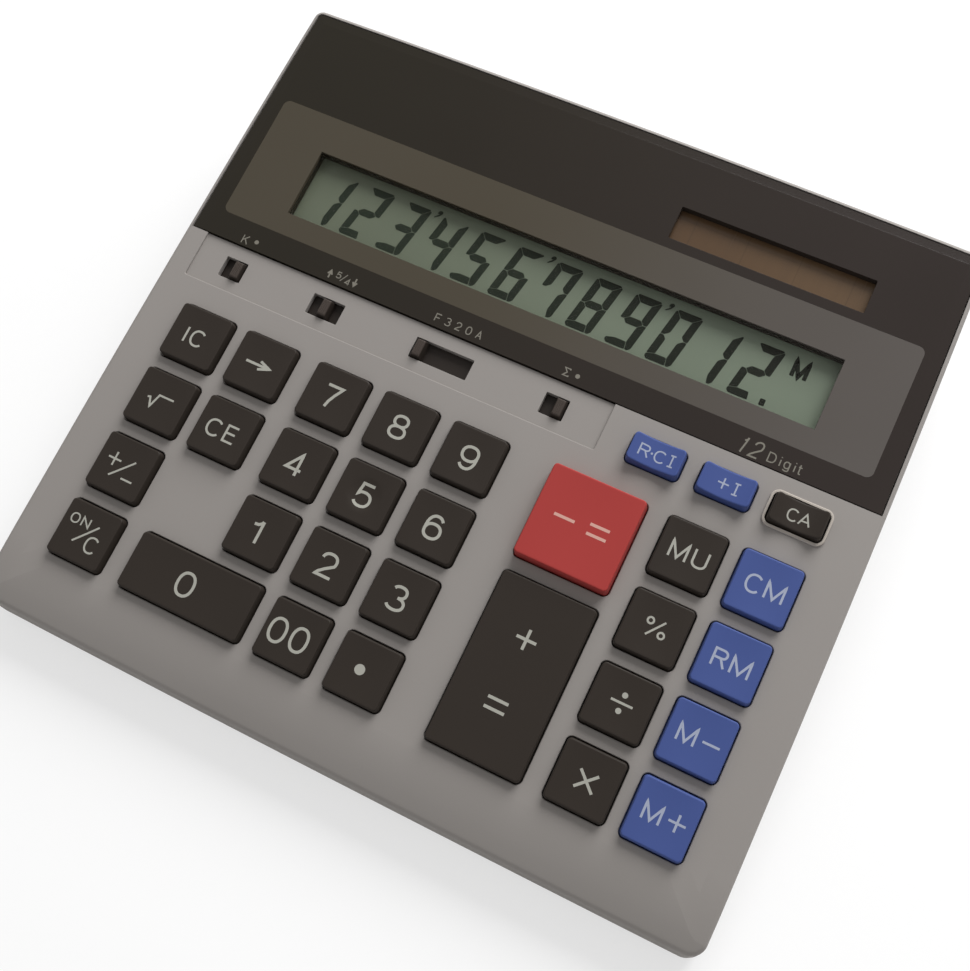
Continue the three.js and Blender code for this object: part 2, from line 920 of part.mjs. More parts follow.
function makeLowerCase() {
  const inside = loft([
    tableOutline(caseWall, floorTop),
    tableOutline(caseWall, seamHeight + overrun),
  ]);
  let body = lowerCaseOutside().subtract(inside).add(seamLipRing()).add(ribs());

  const walls = block(
    cellX - compartmentHalf - compartmentWall,
    cellX + compartmentHalf + compartmentWall,
    compartmentFront - compartmentWall,
    compartmentRear + compartmentWall,
    floorTop - floorThickness / 2,
    roofUnderside + compartmentRoof,
  );
  body = body.add(walls.intersect(lowerCaseRoom()));
  body = body.subtract(
    block(
      cellX - compartmentHalf,
      cellX + compartmentHalf,
      compartmentFront,
      compartmentRear,
      ledgeTop,
      roofUnderside,
    ),
  );
  body = body.subtract(
    block(
      cellX - coverHalf - gap,
      cellX + coverHalf + gap,
      compartmentFront,
      caseRear + overrun,
      floorBottom - overrun,
      ledgeTop + gap,
    ),
  );
  body = body.subtract(
    block(
      cellX - tongueHalf - gap,
      cellX + tongueHalf + gap,
      compartmentFront,
      caseRear + overrun,
      ledgeTop,
      cellBottom,
    ),
  );

  for (const { x, y } of screwPlaces) {
    const seat = upright(x, y, bossRadius + gap, floorTop - floorThickness / 2, seatTop, bossSides);
    const overSeat = seamHeight + 2 * seamLip;
    body = body
      .subtract(upright(x, y, bossRadius + 2 * gap, seatTop, overSeat, bossSides))
      .add(seat)
      .subtract(
        upright(x, y, screwHeadRadius + gap, floorBottom - overrun, screwSeat, bossSides),
      )
      .subtract(
        upright(x, y, screwShankRadius + gap, floorBottom, seatTop + overrun, bossSides),
      );
  }
  for (const { x, y } of footPlaces) {
    body = body.subtract(
      upright(x, y, footRadius + gap, floorBottom - overrun, floorBottom + footSeat),
    );
  }
  return body;
}

// The lip inside the upper case's wall, carried by a thicker band under the seam.
function seamLipRing() {
  const bandBottom = seamHeight - seamLip;
  const outer = caseWall + gap;
  const inner = outer + lipWall;
  return loft([
    tableOutline(caseWall / 2, bandBottom),
    tableOutline(caseWall / 2, seamHeight),
    tableOutline(outer, seamHeight),
    tableOutline(outer, seamHeight + seamLip),
  ]).subtract(
    loft([
      tableOutline(inner, bandBottom - overrun),
      tableOutline(inner, seamHeight + seamLip + overrun),
    ]),
  );
}

// Cross ribs that carry the board.
function ribs() {
  const above = block(
    -halfBody,
    halfBody,
    0,
    bodyDepth,
    boardBottom - gap,
    ceilingHeight,
  ).add(
    upright(0, windowY, chipRadius + gap, boardBottom - chipHeight - gap, boardTop),
  );
  const room = above.transform(deckMatrix.elements);
  const wanted = ribShares.map((share) => {
    const y = THREE.MathUtils.lerp(boardFront, boardRear, share) * slopeAlong;
    return centredBlock(
      0,
      y,
      2 * boardHalf * ribWidthShare,
      ribThickness,
      floorTop - floorThickness / 2,
      frontHeight + bodyDepth * slopeUp,
    );
  });
  return wanted.reduce((sum, rib) => sum.add(rib)).subtract(room);
}

// Everything inside the lower case's walls, as high as the room over it.
function lowerCaseRoom() {
  return loft([
    tableOutline(caseWall / 2, floorTop - floorThickness / 2),
    tableOutline(caseWall / 2, seamHeight),
  ]).add(
    loft([
      tableOutline(caseWall + gap, floorTop),
      tableOutline(caseWall + gap, seamHeight + frontHeight),
    ]),
  );
}

const footX = halfBody - footFromSide;
const footPlaces = [
  { name: "foot_front_left", x: -footX, y: caseFront + footFromEnd },
  { name: "foot_front_right", x: footX, y: caseFront + footFromEnd },
  { name: "foot_rear_left", x: -footX, y: caseRear - footFromEnd },
  { name: "foot_rear_right", x: footX, y: caseRear - footFromEnd },
];

function makeFoot({ x, y }) {
  return upright(x, y, footRadius, 0, floorBottom + footSeat - gap);
}

function makeScrew({ x, y }) {
  const headTop = screwSeat - gap;
  const headBottom = headTop - screwHeadHeight;
  const slot = centredBlock(
    x,
    y,
    screwHeadRadius,
    screwShankRadius / 2,
    headBottom - overrun,
    headBottom + screwHeadHeight / 2,
  );
  const crossSlot = centredBlock(
    x,
    y,
    screwShankRadius / 2,
    screwHeadRadius,
    headBottom - overrun,
    headBottom + screwHeadHeight / 2,
  );
  return upright(x, y, screwHeadRadius, headBottom, headTop, bossSides)
    .add(upright(x, y, screwShankRadius, headTop - screwHeadHeight / 2, screwTip, domeSides))
    .subtract(slot)
    .subtract(crossSlot);
}

// Battery and its contacts

function makeCoinCell() {
  return upright(cellX, cellY, cellRadius, cellBottom, cellTop - gap).add(
    upright(cellX, cellY, cellRadius - cellStep, cellBottom, cellTop),
  );
}

function makeContactPlus() {
  const outer = cellX - compartmentHalf + gap;
  return block(
    outer,
    outer + contactThickness,
    cellY - contactWidth / 2,
    cellY + contactWidth / 2,
    cellBottom + gap,
    cellTop,
  );
}

function makeContactMinus() {
  return centredBlock(
    cellX,
    cellY,
    contactWidth,
    contactLength,
    cellTop + gap,
    cellTop + gap + contactThickness,
  );
}

function makeBatteryCover() {
  const front = compartmentFront + gap;
  const plate = block(
    cellX - coverHalf,
    cellX + coverHalf,
    front,
    caseRear + overrun,
    floorBottom,
    floorBottom + coverThickness,
  );
  const tongues = block(
    cellX - tongueHalf,
    cellX + tongueHalf,
    front,
    caseRear + overrun,
    floorBottom + coverThickness,
    floorBottom + coverThickness + coverTongueThickness,
  );
  return plate.add(tongues).intersect(lowerCaseOutside());
}

// Materials

function finish(color, roughness, metalness = 0) {
  return new THREE.MeshStandardMaterial({ color, roughness, metalness });
}

const finishes = {
  case_grey: finish(0x8f8b88, 0.55),
  key_black: finish(0x322f2a, 0.4),
  key_blue: finish(0x4655a5, 0.4),
  key_red: finish(0xa03f3b, 0.4),
  bezel: finish(0x35322b, 0.25),
  lens: finish(0x5a534c, 0.1),
  lcd: finish(0x8c9488, 0.2),
  solar: finish(0x4a3b2e, 0.25),
  board: finish(0x2d5a3c, 0.5),
  rubber: finish(0x3a3a3a, 0.8),
  light_rubber: finish(0xb9b9b2, 0.8),
  inner_plastic: finish(0xd0cec8, 0.6),
  steel: finish(0xb8b8b4, 0.3, 1),
  brass: finish(0xb59a5a, 0.35, 1),
};

// The calculator

function piece(name, body, finishName) {
  const mesh = new THREE.Mesh(geometryOf(body), finishes[finishName]);
  mesh.name = name;
  return mesh;
}

const deck = new THREE.Group();
deck.position.set(0, 0, frontHeight);
deck.rotation.x = deckSlope;
deck.add(
  piece("top_case", makeUpperCase(), "case_grey"),
  piece("display_bezel", makeBezel(), "bezel"),
  piece("display_lens", makeLens(), "lens"),
  piece("lcd_glass", makeLcd(), "lcd"),
  piece("lcd_holder", makeLcdHolder(), "inner_plastic"),
  piece("lcd_connector", makeLcdConnector(), "rubber"),
  piece("solar_cell", makeSolarCell(), "solar"),
  piece("key_mat", makeKeyMat(), "light_rubber"),
  piece("main_board", makeBoard(), "board"),
);
for (const key of keys) {
  deck.add(piece(key.name, makeKey(key), key.colour));
}
for (const item of switches) {
  deck.add(piece(item.name, makeKnob(item), "key_black"));
}

const base = new THREE.Group();
base.add(
  piece("bottom_case", makeLowerCase(), "case_grey"),
  piece("battery_cover", makeBatteryCover(), "case_grey"),
  piece("coin_cell", makeCoinCell(), "steel"),
  piece("battery_contact_plus", makeContactPlus(), "brass"),
  piece("battery_contact_minus", makeContactMinus(), "brass"),
);
for (const place of footPlaces) {
  base.add(piece(place.name, makeFoot(place), "rubber"));
}
screwPlaces.forEach((place, i) => {
  base.add(piece(`case_screw_${i + 1}`, makeScrew(place), "steel"));
});

const calculator = new THREE.Group();
calculator.add(deck, base);
calculator.position.y = -(caseFront + caseRear) / 2;

export default calculator;
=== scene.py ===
# %% [markdown]
# A desktop calculator, dressed for the camera.
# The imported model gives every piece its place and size. This file gives each of them the finish,
# the rounding and the printed marks that the real one shows. Lengths are in millimetres until
# the last step of each piece, where one matrix turns them into metres.

import json
import math

import bmesh
import bpy
from mathutils import Matrix, Vector


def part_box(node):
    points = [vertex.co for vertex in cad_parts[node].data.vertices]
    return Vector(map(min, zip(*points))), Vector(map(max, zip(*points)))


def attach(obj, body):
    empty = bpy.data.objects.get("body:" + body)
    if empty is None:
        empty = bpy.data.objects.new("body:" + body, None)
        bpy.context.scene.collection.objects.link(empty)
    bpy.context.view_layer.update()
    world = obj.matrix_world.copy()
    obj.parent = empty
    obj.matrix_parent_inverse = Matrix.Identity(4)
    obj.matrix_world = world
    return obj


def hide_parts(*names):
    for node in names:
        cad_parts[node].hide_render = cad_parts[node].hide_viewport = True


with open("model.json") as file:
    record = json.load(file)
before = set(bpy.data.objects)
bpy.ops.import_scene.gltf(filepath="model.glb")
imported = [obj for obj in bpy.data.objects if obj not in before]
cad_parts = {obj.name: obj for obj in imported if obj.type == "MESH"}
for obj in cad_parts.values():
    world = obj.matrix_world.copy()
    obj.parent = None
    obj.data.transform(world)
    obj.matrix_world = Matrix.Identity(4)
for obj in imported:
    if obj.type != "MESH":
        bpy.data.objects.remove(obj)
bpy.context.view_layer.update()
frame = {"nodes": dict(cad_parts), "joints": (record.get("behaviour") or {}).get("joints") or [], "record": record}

# %% [markdown]
# The deck slopes, and the keys, the switches and the display all lie square to it. It is far
# easier to model them on a level deck and tilt the result once. So this step works out the
# deck's own frame: x to the right, y up the slope, z off the deck, with the origin at the middle
# of the deck's front edge. The slope is read from the way a key travels. Heights on the deck are
# told apart with a small margin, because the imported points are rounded.

# %% The deck's frame
MM = 0.001
DECK_EDGE = 1.2
NEAR = 0.05
press = next(j for j in frame["joints"] if j["name"] == "key_five_press")
NORMAL = Vector(press["axis"]).normalized()
SLOPE = math.atan2(-NORMAL.y, NORMAL.z)
SLOPE_UP = math.sin(SLOPE)
SLOPE_ALONG = math.cos(SLOPE)

deck_height = max(NORMAL.dot(v.co) for v in frame["nodes"]["display_lens"].data.vertices)
front_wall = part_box("top_case")[0].y
deck_y = front_wall - DECK_EDGE * MM * SLOPE_UP
deck_z = (deck_height - NORMAL.y * deck_y) / NORMAL.z
DECK = Matrix.Translation((0, deck_y, deck_z)) @ Matrix.Rotation(SLOPE, 4, "X") @ Matrix.Scale(MM, 4)
TABLE = Matrix.Scale(MM, 4)
FRONT_HEIGHT = deck_z / MM
PLUMB = Vector((0, SLOPE_UP, SLOPE_ALONG))
print("slope", round(math.degrees(SLOPE), 3), "front height", round(FRONT_HEIGHT, 3))


def deck_points(node):
    """A node's vertices, in the deck's frame."""
    back = DECK.inverted()
    return [back @ v.co for v in frame["nodes"][node].data.vertices]


def span(points):
    """The lowest and the highest corner of some points."""
    low = Vector([min(p[i] for p in points) for i in range(3)])
    high = Vector([max(p[i] for p in points) for i in range(3)])
    return low, high


def middle_y(node):
    """How far up the slope the middle of a node lies."""
    low, high = span(deck_points(node))
    return (low.y + high.y) / 2


def table_box(node):
    """A node's corners over the table, in millimetres."""
    low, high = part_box(node)
    return low / MM, high / MM


# %% [markdown]
# Most pieces are made from rings of points, joined from one to the next like the staves of a
# barrel. A ring loft gives clean rows of faces, so rounded edges shade smoothly, and it closes
# itself at both ends. Rings run anticlockwise seen from above, which makes faces point outwards.

# %% Making solids from rings
def placed(name, data):
    """A new object in the scene, which shows a mesh, a lamp or a camera."""
    made = bpy.data.objects.new(name, data)
    bpy.context.scene.collection.objects.link(made)
    return made


def solid(name, points, faces):
    """A mesh object whose faces all point outwards."""
    mesh = bpy.data.meshes.new(name)
    mesh.from_pydata([tuple(p) for p in points], [], faces)
    shape = bmesh.new()
    shape.from_mesh(mesh)
    bmesh.ops.recalc_face_normals(shape, faces=shape.faces)
    shape.to_mesh(mesh)
    shape.free()
    return placed(name, mesh)


def gathered(name, parts):
    """One object from several parts, each a list of points and a list of faces."""
    points = []
    faces = []
    for more_points, more_faces in parts:
        faces += [tuple(len(points) + i for i in face) for face in more_faces]
        points += more_points
    return solid(name, points, faces)


def loft_faces(ring_count, size):
    """Side faces between rings of one size, and one face at each end."""
    faces = []
    for ring in range(ring_count - 1):
        for i in range(size):
            a = ring * size + i
            b = ring * size + (i + 1) % size
            faces.append((a, b, b + size, a + size))
    last = (ring_count - 1) * size
    return faces + [tuple(reversed(range(size))), tuple(range(last, last + size))]


def loft(name, *stacks):
    """One object from one or more stacks of rings."""
    parts = []
    for rings in stacks:
        points = [p for ring in rings for p in ring]
        parts.append((points, loft_faces(len(rings), len(rings[0]))))
    return gathered(name, parts)


# %% [markdown]
# Three outlines serve almost every piece: a rectangle with round corners, the same drawn up into
# a block, and a circle whose radius changes with its height. A rounded edge is a quarter circle
# in section, and its steps are worked out once for all the pieces that have one.

# %% Outlines and roundings
def rounded(x, y, width, depth, radius, corner_steps=6, side_steps=8):
    """A rectangle with round corners, with points along its sides too."""
    points = []
    reach_x = width / 2 - radius
    reach_y = depth / 2 - radius
    corners = [(1, -1, -90), (1, 1, 0), (-1, 1, 90), (-1, -1, 180)]
    for k, (side_x, side_y, start) in enumerate(corners):
        for i in range(corner_steps + 1):
            angle = math.radians(start + 90 * i / corner_steps)
            px = x + side_x * reach_x + radius * math.cos(angle)
            py = y + side_y * reach_y + radius * math.sin(angle)
            points.append(Vector((px, py)))
        next_x, next_y, next_start = corners[(k + 1) % 4]
        angle = math.radians(next_start)
        end = Vector((x + next_x * reach_x, y + next_y * reach_y))
        end += Vector((math.cos(angle), math.sin(angle))) * radius
        begin = points[-1]
        points += [begin.lerp(end, i / side_steps) for i in range(1, side_steps)]
    return points


def raised(outline, z):
    """An outline at one height."""
    return [Vector((p.x, p.y, z)) for p in outline]


def quarter_round(steps):
    """Pairs round a quarter circle of radius 1: how far in, and how far below its top."""
    angles = [math.radians(90 * i / steps) for i in range(steps + 1)]
    return [(1 - math.cos(a), 1 - math.sin(a)) for a in angles]


def rounded_block(name, low, high, radius, **steps):
    """A block with round upright corners."""
    middle = (low + high) / 2
    size = high - low
    outline = rounded(middle.x, middle.y, size.x, size.y, radius, **steps)
    return loft(name, [raised(outline, low.z), raised(outline, high.z)])


def turned(name, profile, sides=40):
    """A solid of revolution on the upright axis: radius and height pairs, from the lowest up."""
    angles = [2 * math.pi * i / sides for i in range(sides)]
    rings = []
    for radius, z in profile:
        rings.append([Vector((radius * math.cos(a), radius * math.sin(a), z)) for a in angles])
    return loft(name, rings)


# %% [markdown]
# Shells are easier to cut than to draw: a deck with 31 wells is one loft and 31 cutters. A
# Boolean modifier does each cut. The modifier isn't left live. Its result is read back as a
# plain mesh, which keeps later steps quick.

# %% Cutting, joining and copying
MERGE_DISTANCE = 0.001


def plain_mesh(made):
    """Puts the result of an object's modifiers in its mesh, and removes them."""
    graph = bpy.context.evaluated_depsgraph_get()
    mesh = bpy.data.meshes.new_from_object(made.evaluated_get(graph))
    made.modifiers.clear()
    made.data = mesh
    return made


def carve(body, operation, *tools):
    """Cuts with, joins or meets each tool in turn, and removes the tools."""
    for tool in tools:
        modifier = body.modifiers.new("carve", "BOOLEAN")
        modifier.operation = operation
        modifier.solver = "MANIFOLD"
        modifier.object = tool
        plain_mesh(body)
        bpy.data.objects.remove(tool)
    return body


def join(name, pieces):
    """One object that holds several closed solids."""
    shape = bmesh.new()
    for piece in pieces:
        shape.from_mesh(piece.data)
        bpy.data.objects.remove(piece)
    mesh = bpy.data.meshes.new(name)
    shape.to_mesh(mesh)
    shape.free()
    return placed(name, mesh)


def copy_of(node, name):
    """A copy of a CAD node in the deck's frame, with its shared points merged."""
    mesh = frame["nodes"][node].data.copy()
    mesh.transform(DECK.inverted())
    mesh.materials.clear()
    shape = bmesh.new()
    shape.from_mesh(mesh)
    bmesh.ops.remove_doubles(shape, verts=shape.verts, dist=MERGE_DISTANCE)
    shape.to_mesh(mesh)
    shape.free()
    return placed(name, mesh)


# %% [markdown]
# A cut can leave slivers between the deck and a well's wall. Smooth shading that walks from face
# to face would cross them and smear the wall's shade over the deck. So each corner's normal is
# set here, from the faces round its point that nearly face its own way, the larger the stronger.
# Then the piece gets its place, its finish and the body that carries it.

# %% Finishing a piece
SHARP = math.cos(math.radians(38))
LEVEL = 0.99995


def shade(mesh):
    """Sets the normal of every face's every corner. A level face keeps its own."""
    faces = [(p.normal.copy(), p.area) for p in mesh.polygons]
    around = [[] for _ in mesh.vertices]
    for p in mesh.polygons:
        for v in p.vertices:
            around[v].append(faces[p.index])
    normals = []
    for p in mesh.polygons:
        own = faces[p.index][0]
        for v in p.vertices:
            total = Vector()
            for normal, area in around[v]:
                if normal.dot(own) > SHARP:
                    total += normal * area
            normals.append(own if abs(own.z) > LEVEL else total.normalized())
    mesh.shade_smooth()
    mesh.normals_split_custom_set(normals)


def paint(mesh, material):
    """Gives a mesh one material in place of those it has."""
    mesh.materials.clear()
    mesh.materials.append(material)


def finish(made, body, material, nodes=(), place=DECK):
    """Shades a piece, puts its place in its mesh, gives it its finish and lets it ride."""
    shade(made.data)
    made.data.transform(place)
    paint(made.data, material)
    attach(made, body)
    if nodes:
        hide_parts(*nodes)
    print(made.name, len(made.data.polygons), "faces")
    return made


# %% [markdown]
# A finish is a small sum: a base colour, plus a little noise, times a mask. Written as nodes
# that is a long list of links. This class lets the sum be written as a sum. It wraps a socket,
# and each operator adds the Math node it stands for. Everything else comes from one method that
# makes any node from its type, its settings and its inputs.

# %% Shader sums
def light(red, green, blue):
    """A colour as a paint chart gives it, 0 to 255, made linear."""
    shares = [v / 255 for v in (red, green, blue)]
    out = [s / 12.92 if s <= 0.04045 else ((s + 0.055) / 1.055) ** 2.4 for s in shares]
    return (*out, 1)


class Value:
    """A node's output socket that takes part in Python sums."""

    def __init__(self, graph, socket):
        self.graph = graph
        self.socket = socket

    def __add__(self, other):
        return self.graph.maths("ADD", self, other)

    def __sub__(self, other):
        return self.graph.maths("SUBTRACT", self, other)

    def __mul__(self, other):
        return self.graph.maths("MULTIPLY", self, other)

    def __truediv__(self, other):
        return self.graph.maths("DIVIDE", self, other)

    def __rsub__(self, other):
        return self.graph.maths("SUBTRACT", other, self)

    def __abs__(self):
        return self.graph.maths("ABSOLUTE", self)

    __radd__ = __add__
    __rmul__ = __mul__


class Graph:
    """A node tree, and the one way nodes are added to it."""

    def __init__(self, tree):
        self.tree = tree

    def node(self, kind, settings=None, inputs=None, output=0):
        """Adds a node, gives it its inputs, which may be other nodes' values, and returns a value."""
        made = self.tree.nodes.new(kind)
        for name, value in (settings or {}).items():
            setattr(made, name, value)
        for key, value in (inputs or {}).items():
            if isinstance(value, Value):
                self.tree.links.new(value.socket, made.inputs[key])
            else:
                made.inputs[key].default_value = value
        return Value(self, made.outputs[output])

    def last(self, kind, socket, value):
        """Adds the node that ends the tree, fed by one value."""
        made = self.tree.nodes.new(kind)
        self.tree.links.new(value.socket, made.inputs[socket])
        return made

    def maths(self, operation, first, second=0.0):
        """A Math node on one or two values."""
        return self.node("ShaderNodeMath", {"operation": operation}, {0: first, 1: second})

    def ray(self, kind):
        """1 for rays of one kind, such as those from the camera, and 0 for others."""
        return self.node("ShaderNodeLightPath", output=f"Is {kind} Ray")


# %% [markdown]
# Every finish on the calculator is one Principled shader. What never varies, such as a gloss or
# a metal's full sheen, is set on the shader's own sockets. What varies is fed by a sum of noise,
# soft passages and places. Places are read from the Object coordinates, because those stay with
# a piece when it moves, and one dot product turns them into the deck's own millimetres. A Mix
# node has a set of sockets for each kind of value, so the ones for colours are picked by number.

# %% A finish and its patterns
WHITE = (1, 1, 1, 1)
FIRST_COLOUR = 6
SECOND_COLOUR = 7
MIXED_COLOUR = 2


def toned(colour, factor):
    """A colour made darker or paler by a factor."""
    return tuple(min(c * factor, 1) for c in colour[:3]) + (1,)


class Finish(Graph):
    """A material with one Principled shader. Constants are set on the shader's own sockets."""

    def __init__(self, name, **constants):
        self.material = bpy.data.materials.new(name)
        self.material.use_nodes = True
        super().__init__(self.material.node_tree)
        self.tree.nodes.clear()
        self.shader = self.tree.nodes.new("ShaderNodeBsdfPrincipled")
        self.lit = Value(self, self.shader.outputs[0])
        self.end = self.last("ShaderNodeOutputMaterial", "Surface", self.lit)
        for name, value in constants.items():
            self.shader.inputs[name.replace("_", " ")].default_value = value

    def place(self):
        """The point's Object coordinates, in metres."""
        return self.node("ShaderNodeTexCoord", output="Object")

    def axis(self, which):
        """One coordinate of the place, in metres."""
        return self.node("ShaderNodeSeparateXYZ", inputs={0: self.place()}, output=which)

    def deck_axis(self, which):
        """One coordinate of the place in the deck's frame, in millimetres."""
        row = DECK.inverted()["XYZ".index(which)]
        inputs = {0: self.place(), 1: tuple(row[:3])}
        along = self.node("ShaderNodeVectorMath", {"operation": "DOT_PRODUCT"}, inputs, "Value")
        return along + row[3]

    def noise(self, size, detail=2.0, stretch=(1, 1, 1)):
        """Cloudy noise whose patches are about as large as a size in millimetres."""
        moved = self.node("ShaderNodeMapping", inputs={"Vector": self.place(), "Scale": stretch})
        inputs = {"Vector": moved, "Scale": 1 / (size * MM), "Detail": detail}
        return self.node("ShaderNodeTexNoise", inputs=inputs)

    def ramp(self, value, low, high):
        """0 below low and 1 above high, with a soft passage between."""
        inputs = {"Value": value, "From Min": low, "From Max": high}
        return self.node("ShaderNodeMapRange", {"interpolation_type": "SMOOTHSTEP"}, inputs)

    def mixed(self, share, first, second):
        """One colour blended into another."""
        inputs = {"Factor": share, FIRST_COLOUR: first, SECOND_COLOUR: second}
        return self.node("ShaderNodeMix", {"data_type": "RGBA"}, inputs, MIXED_COLOUR)

    def two_tone(self, share, across, left, right):
        """A pair of near tones that turns into another pair from left to right."""
        return self.mixed(across, self.mixed(share, *left), self.mixed(share, *right))

    def feed(self, socket, value):
        """Joins a value to one of the shader's sockets."""
        self.tree.links.new(value.socket, self.shader.inputs[socket])

    def grain(self, height, depth):
        """Bump from a height pattern, whose depth is in millimetres."""
        inputs = {"Height": height, "Distance": depth * MM, "Strength": 1.0}
        self.feed("Normal", self.node("ShaderNodeBump", inputs=inputs))
        return self.material


# %% [markdown]
# Moulded plastic is never one flat colour. Its surface carries the fine pits of a spark-eroded
# mould, which scatter light, and over centimetres its tone and gloss drift a little. One
# function makes them all, and each piece gives its own colour, grain size and gloss. A piece
# can also get a painted highlight: a paler colour on what stands off the deck, where light
# would catch it.

# %% Moulded plastic
DRIFT_SIZE = 38
DRIFT_GLOSS = 0.06
GRAIN_GLOSS = 0.08
HIGHLIGHT_SPAN = (0.05, 0.4)


def moulded(name, colour, drift, roughness, grain_size, grain_depth, specular=0.3, crest=None):
    """Plastic with a mould's grain. What stands off the deck can get a painted highlight in a paler colour."""
    made = Finish(name, Specular_IOR_Level=specular)
    slow = made.noise(DRIFT_SIZE, 1.5)
    fine = made.noise(grain_size, 2.5)
    base = made.mixed(slow * 0.8 + fine * 0.2, toned(colour, 1 - drift), toned(colour, 1 + drift))
    if crest is not None:
        # The crest colour is a painted highlight, paler where the piece stands off the deck.
        base = made.mixed(made.ramp(made.deck_axis("Z"), *HIGHLIGHT_SPAN), base, crest)
    made.feed("Base Color", base)
    even = roughness - (DRIFT_GLOSS + GRAIN_GLOSS) / 2
    made.feed("Roughness", slow * DRIFT_GLOSS + fine * GRAIN_GLOSS + even)
    return made.grain(fine, grain_depth)


case_look = (light(147, 142, 138), 0.05, 0.62, 0.32, 0.012, 0.2)
case_finish = moulded("case_plastic", *case_look)
# The deck's finish paints a highlight on the guard rim round the clear-all key, the only part of the shell that
# stands off the deck.
deck_finish = moulded("deck_plastic", *case_look, crest=light(182, 174, 165))
key_finishes = {
    "key_black": moulded("black_key_plastic", light(45, 39, 34), 0.08, 0.48, 0.22, 0.006, 0.14),
    "key_blue": moulded("blue_key_plastic", light(68, 84, 140), 0.05, 0.48, 0.22, 0.006, 0.14),
    "key_red": moulded("red_key_plastic", light(165, 62, 59), 0.04, 0.5, 0.22, 0.006, 0.1),
}
knob_look = (light(42, 36, 32), 0.08, 0.5, 0.2, 0.006, 0.16)
# The knobs' finish paints a highlight on their tops, which stand off the deck.
knob_finish = moulded("switch_plastic", *knob_look, crest=light(68, 60, 55))
print("moulded finishes", 3 + len(key_finishes))

# %% [markdown]
# The case in plan isn't a rectangle. Its sides draw in towards the rear, its front and rear
# edges bow out a little, and its front corners are rounder than its rear ones. The walls stand
# plumb on the table while the deck slopes, so a wall's ring at one height over the table is the
# plan pushed straight down. The deck also rolls down softly over its last stretch at the front.

# %% The case in plan
SIDE_TAPER = 1.7
FRONT_BOW = 0.4
REAR_BOW = 0.85
FRONT_CORNER = 4.0
REAR_CORNER = 2.4
ROLL_DEPTH = 15.0
ROLL_DROP = 2.2
ROLL_RINGS = (1.8, 3, 4.5, 6, 8, 10, 12, 14, ROLL_DEPTH + 0.5)
SMALLEST_CORNER = 0.3
CORNER_STEPS = 10
EDGE_STEPS = 24

HALF_WIDTH, BODY_DEPTH = span(deck_points("top_case"))[1].xy
TAPER_START = middle_y("key_two")


def side_at(y):
    """How far out a side is, at a place up the slope."""
    share = min(max((y - TAPER_START) / (BODY_DEPTH - TAPER_START), 0), 1)
    return HALF_WIDTH - SIDE_TAPER * share * share


def front_at(x):
    """Where the front edge is, at a place across the deck."""
    return FRONT_BOW * (x / HALF_WIDTH) ** 2


def rear_at(x):
    """Where the rear edge is, at a place across the deck."""
    return BODY_DEPTH - REAR_BOW * (x / HALF_WIDTH) ** 2


def corner(x, y, radius, start):
    """Points round a corner, from a starting angle in degrees."""
    angles = [math.radians(start + 90 * i / CORNER_STEPS) for i in range(CORNER_STEPS + 1)]
    return [Vector((x + radius * math.cos(a), y + radius * math.sin(a))) for a in angles]


def between(a, b):
    """Even steps from one place to another, without the two ends."""
    return [a + (b - a) * i / EDGE_STEPS for i in range(1, EDGE_STEPS)]


def plan(inset):
    """The case's outline, drawn in by an inset."""
    front = max(FRONT_CORNER - inset, SMALLEST_CORNER)
    rear = max(REAR_CORNER - inset, SMALLEST_CORNER)
    front_x = side_at(0) - inset - front
    rear_x = side_at(BODY_DEPTH) - inset - rear
    front_y = front_at(front_x) + inset + front
    rear_y = rear_at(rear_x) - inset - rear
    points = [Vector((x, front_at(x) + inset)) for x in between(-front_x, front_x)]
    points += corner(front_x, front_y, front, -90)
    points += [Vector((side_at(y) - inset, y)) for y in between(front_y, rear_y)]
    points += corner(rear_x, rear_y, rear, 0)
    points += [Vector((x, rear_at(x) - inset)) for x in between(rear_x, -rear_x)]
    points += corner(-rear_x, rear_y, rear, 90)
    points += [Vector((inset - side_at(y), y)) for y in between(rear_y, front_y)]
    points += corner(-front_x, front_y, front, 180)
    return points


def roll(y):
    """How far the deck has dropped at a place near its front edge."""
    share = max(1 - y / ROLL_DEPTH, 0)
    return ROLL_DROP * share * share


def wall_at(inset, height):
    """The plumb wall's ring at a height over the table."""
    ring = []
    for p in plan(inset):
        rise = height - FRONT_HEIGHT - p.y * SLOPE_UP + DECK_EDGE * SLOPE_ALONG
        ring.append(Vector((p.x, p.y, -DECK_EDGE)) + PLUMB * rise)
    return ring


def deck_ring(inset, z):
    """A ring on the deck, which rolls down at the front."""
    return [Vector((p.x, p.y, z - roll(p.y))) for p in plan(inset)]


def case_block(name, inset, drop, bottom):
    """The whole outside of the case, drawn in and lowered alike."""
    rings = [wall_at(inset, bottom)]
    for inward, below in quarter_round(8):
        rings.append(deck_ring(inset + DECK_EDGE * inward, -drop - DECK_EDGE * below))
    for far in ROLL_RINGS:
        rings.append(deck_ring(inset + far, -drop))
    return loft(name, rings)


print("case", round(2 * HALF_WIDTH, 2), "by", round(BODY_DEPTH, 2))

# %% [markdown]
# Where a well, a slot or the switch bar meets the deck, the mould leaves a tiny rounded edge. It
# is only a few tenths of a millimetre, but it catches the light all round each key. A cutter
# that flares like a trumpet at its mouth leaves that rounding behind as it cuts.

# %% Flared cutters
FLARE_STEPS = 4
FLARE_LIFT = 0.001
OVERRUN = 2.0
SHORT_OVERRUN = 1.0


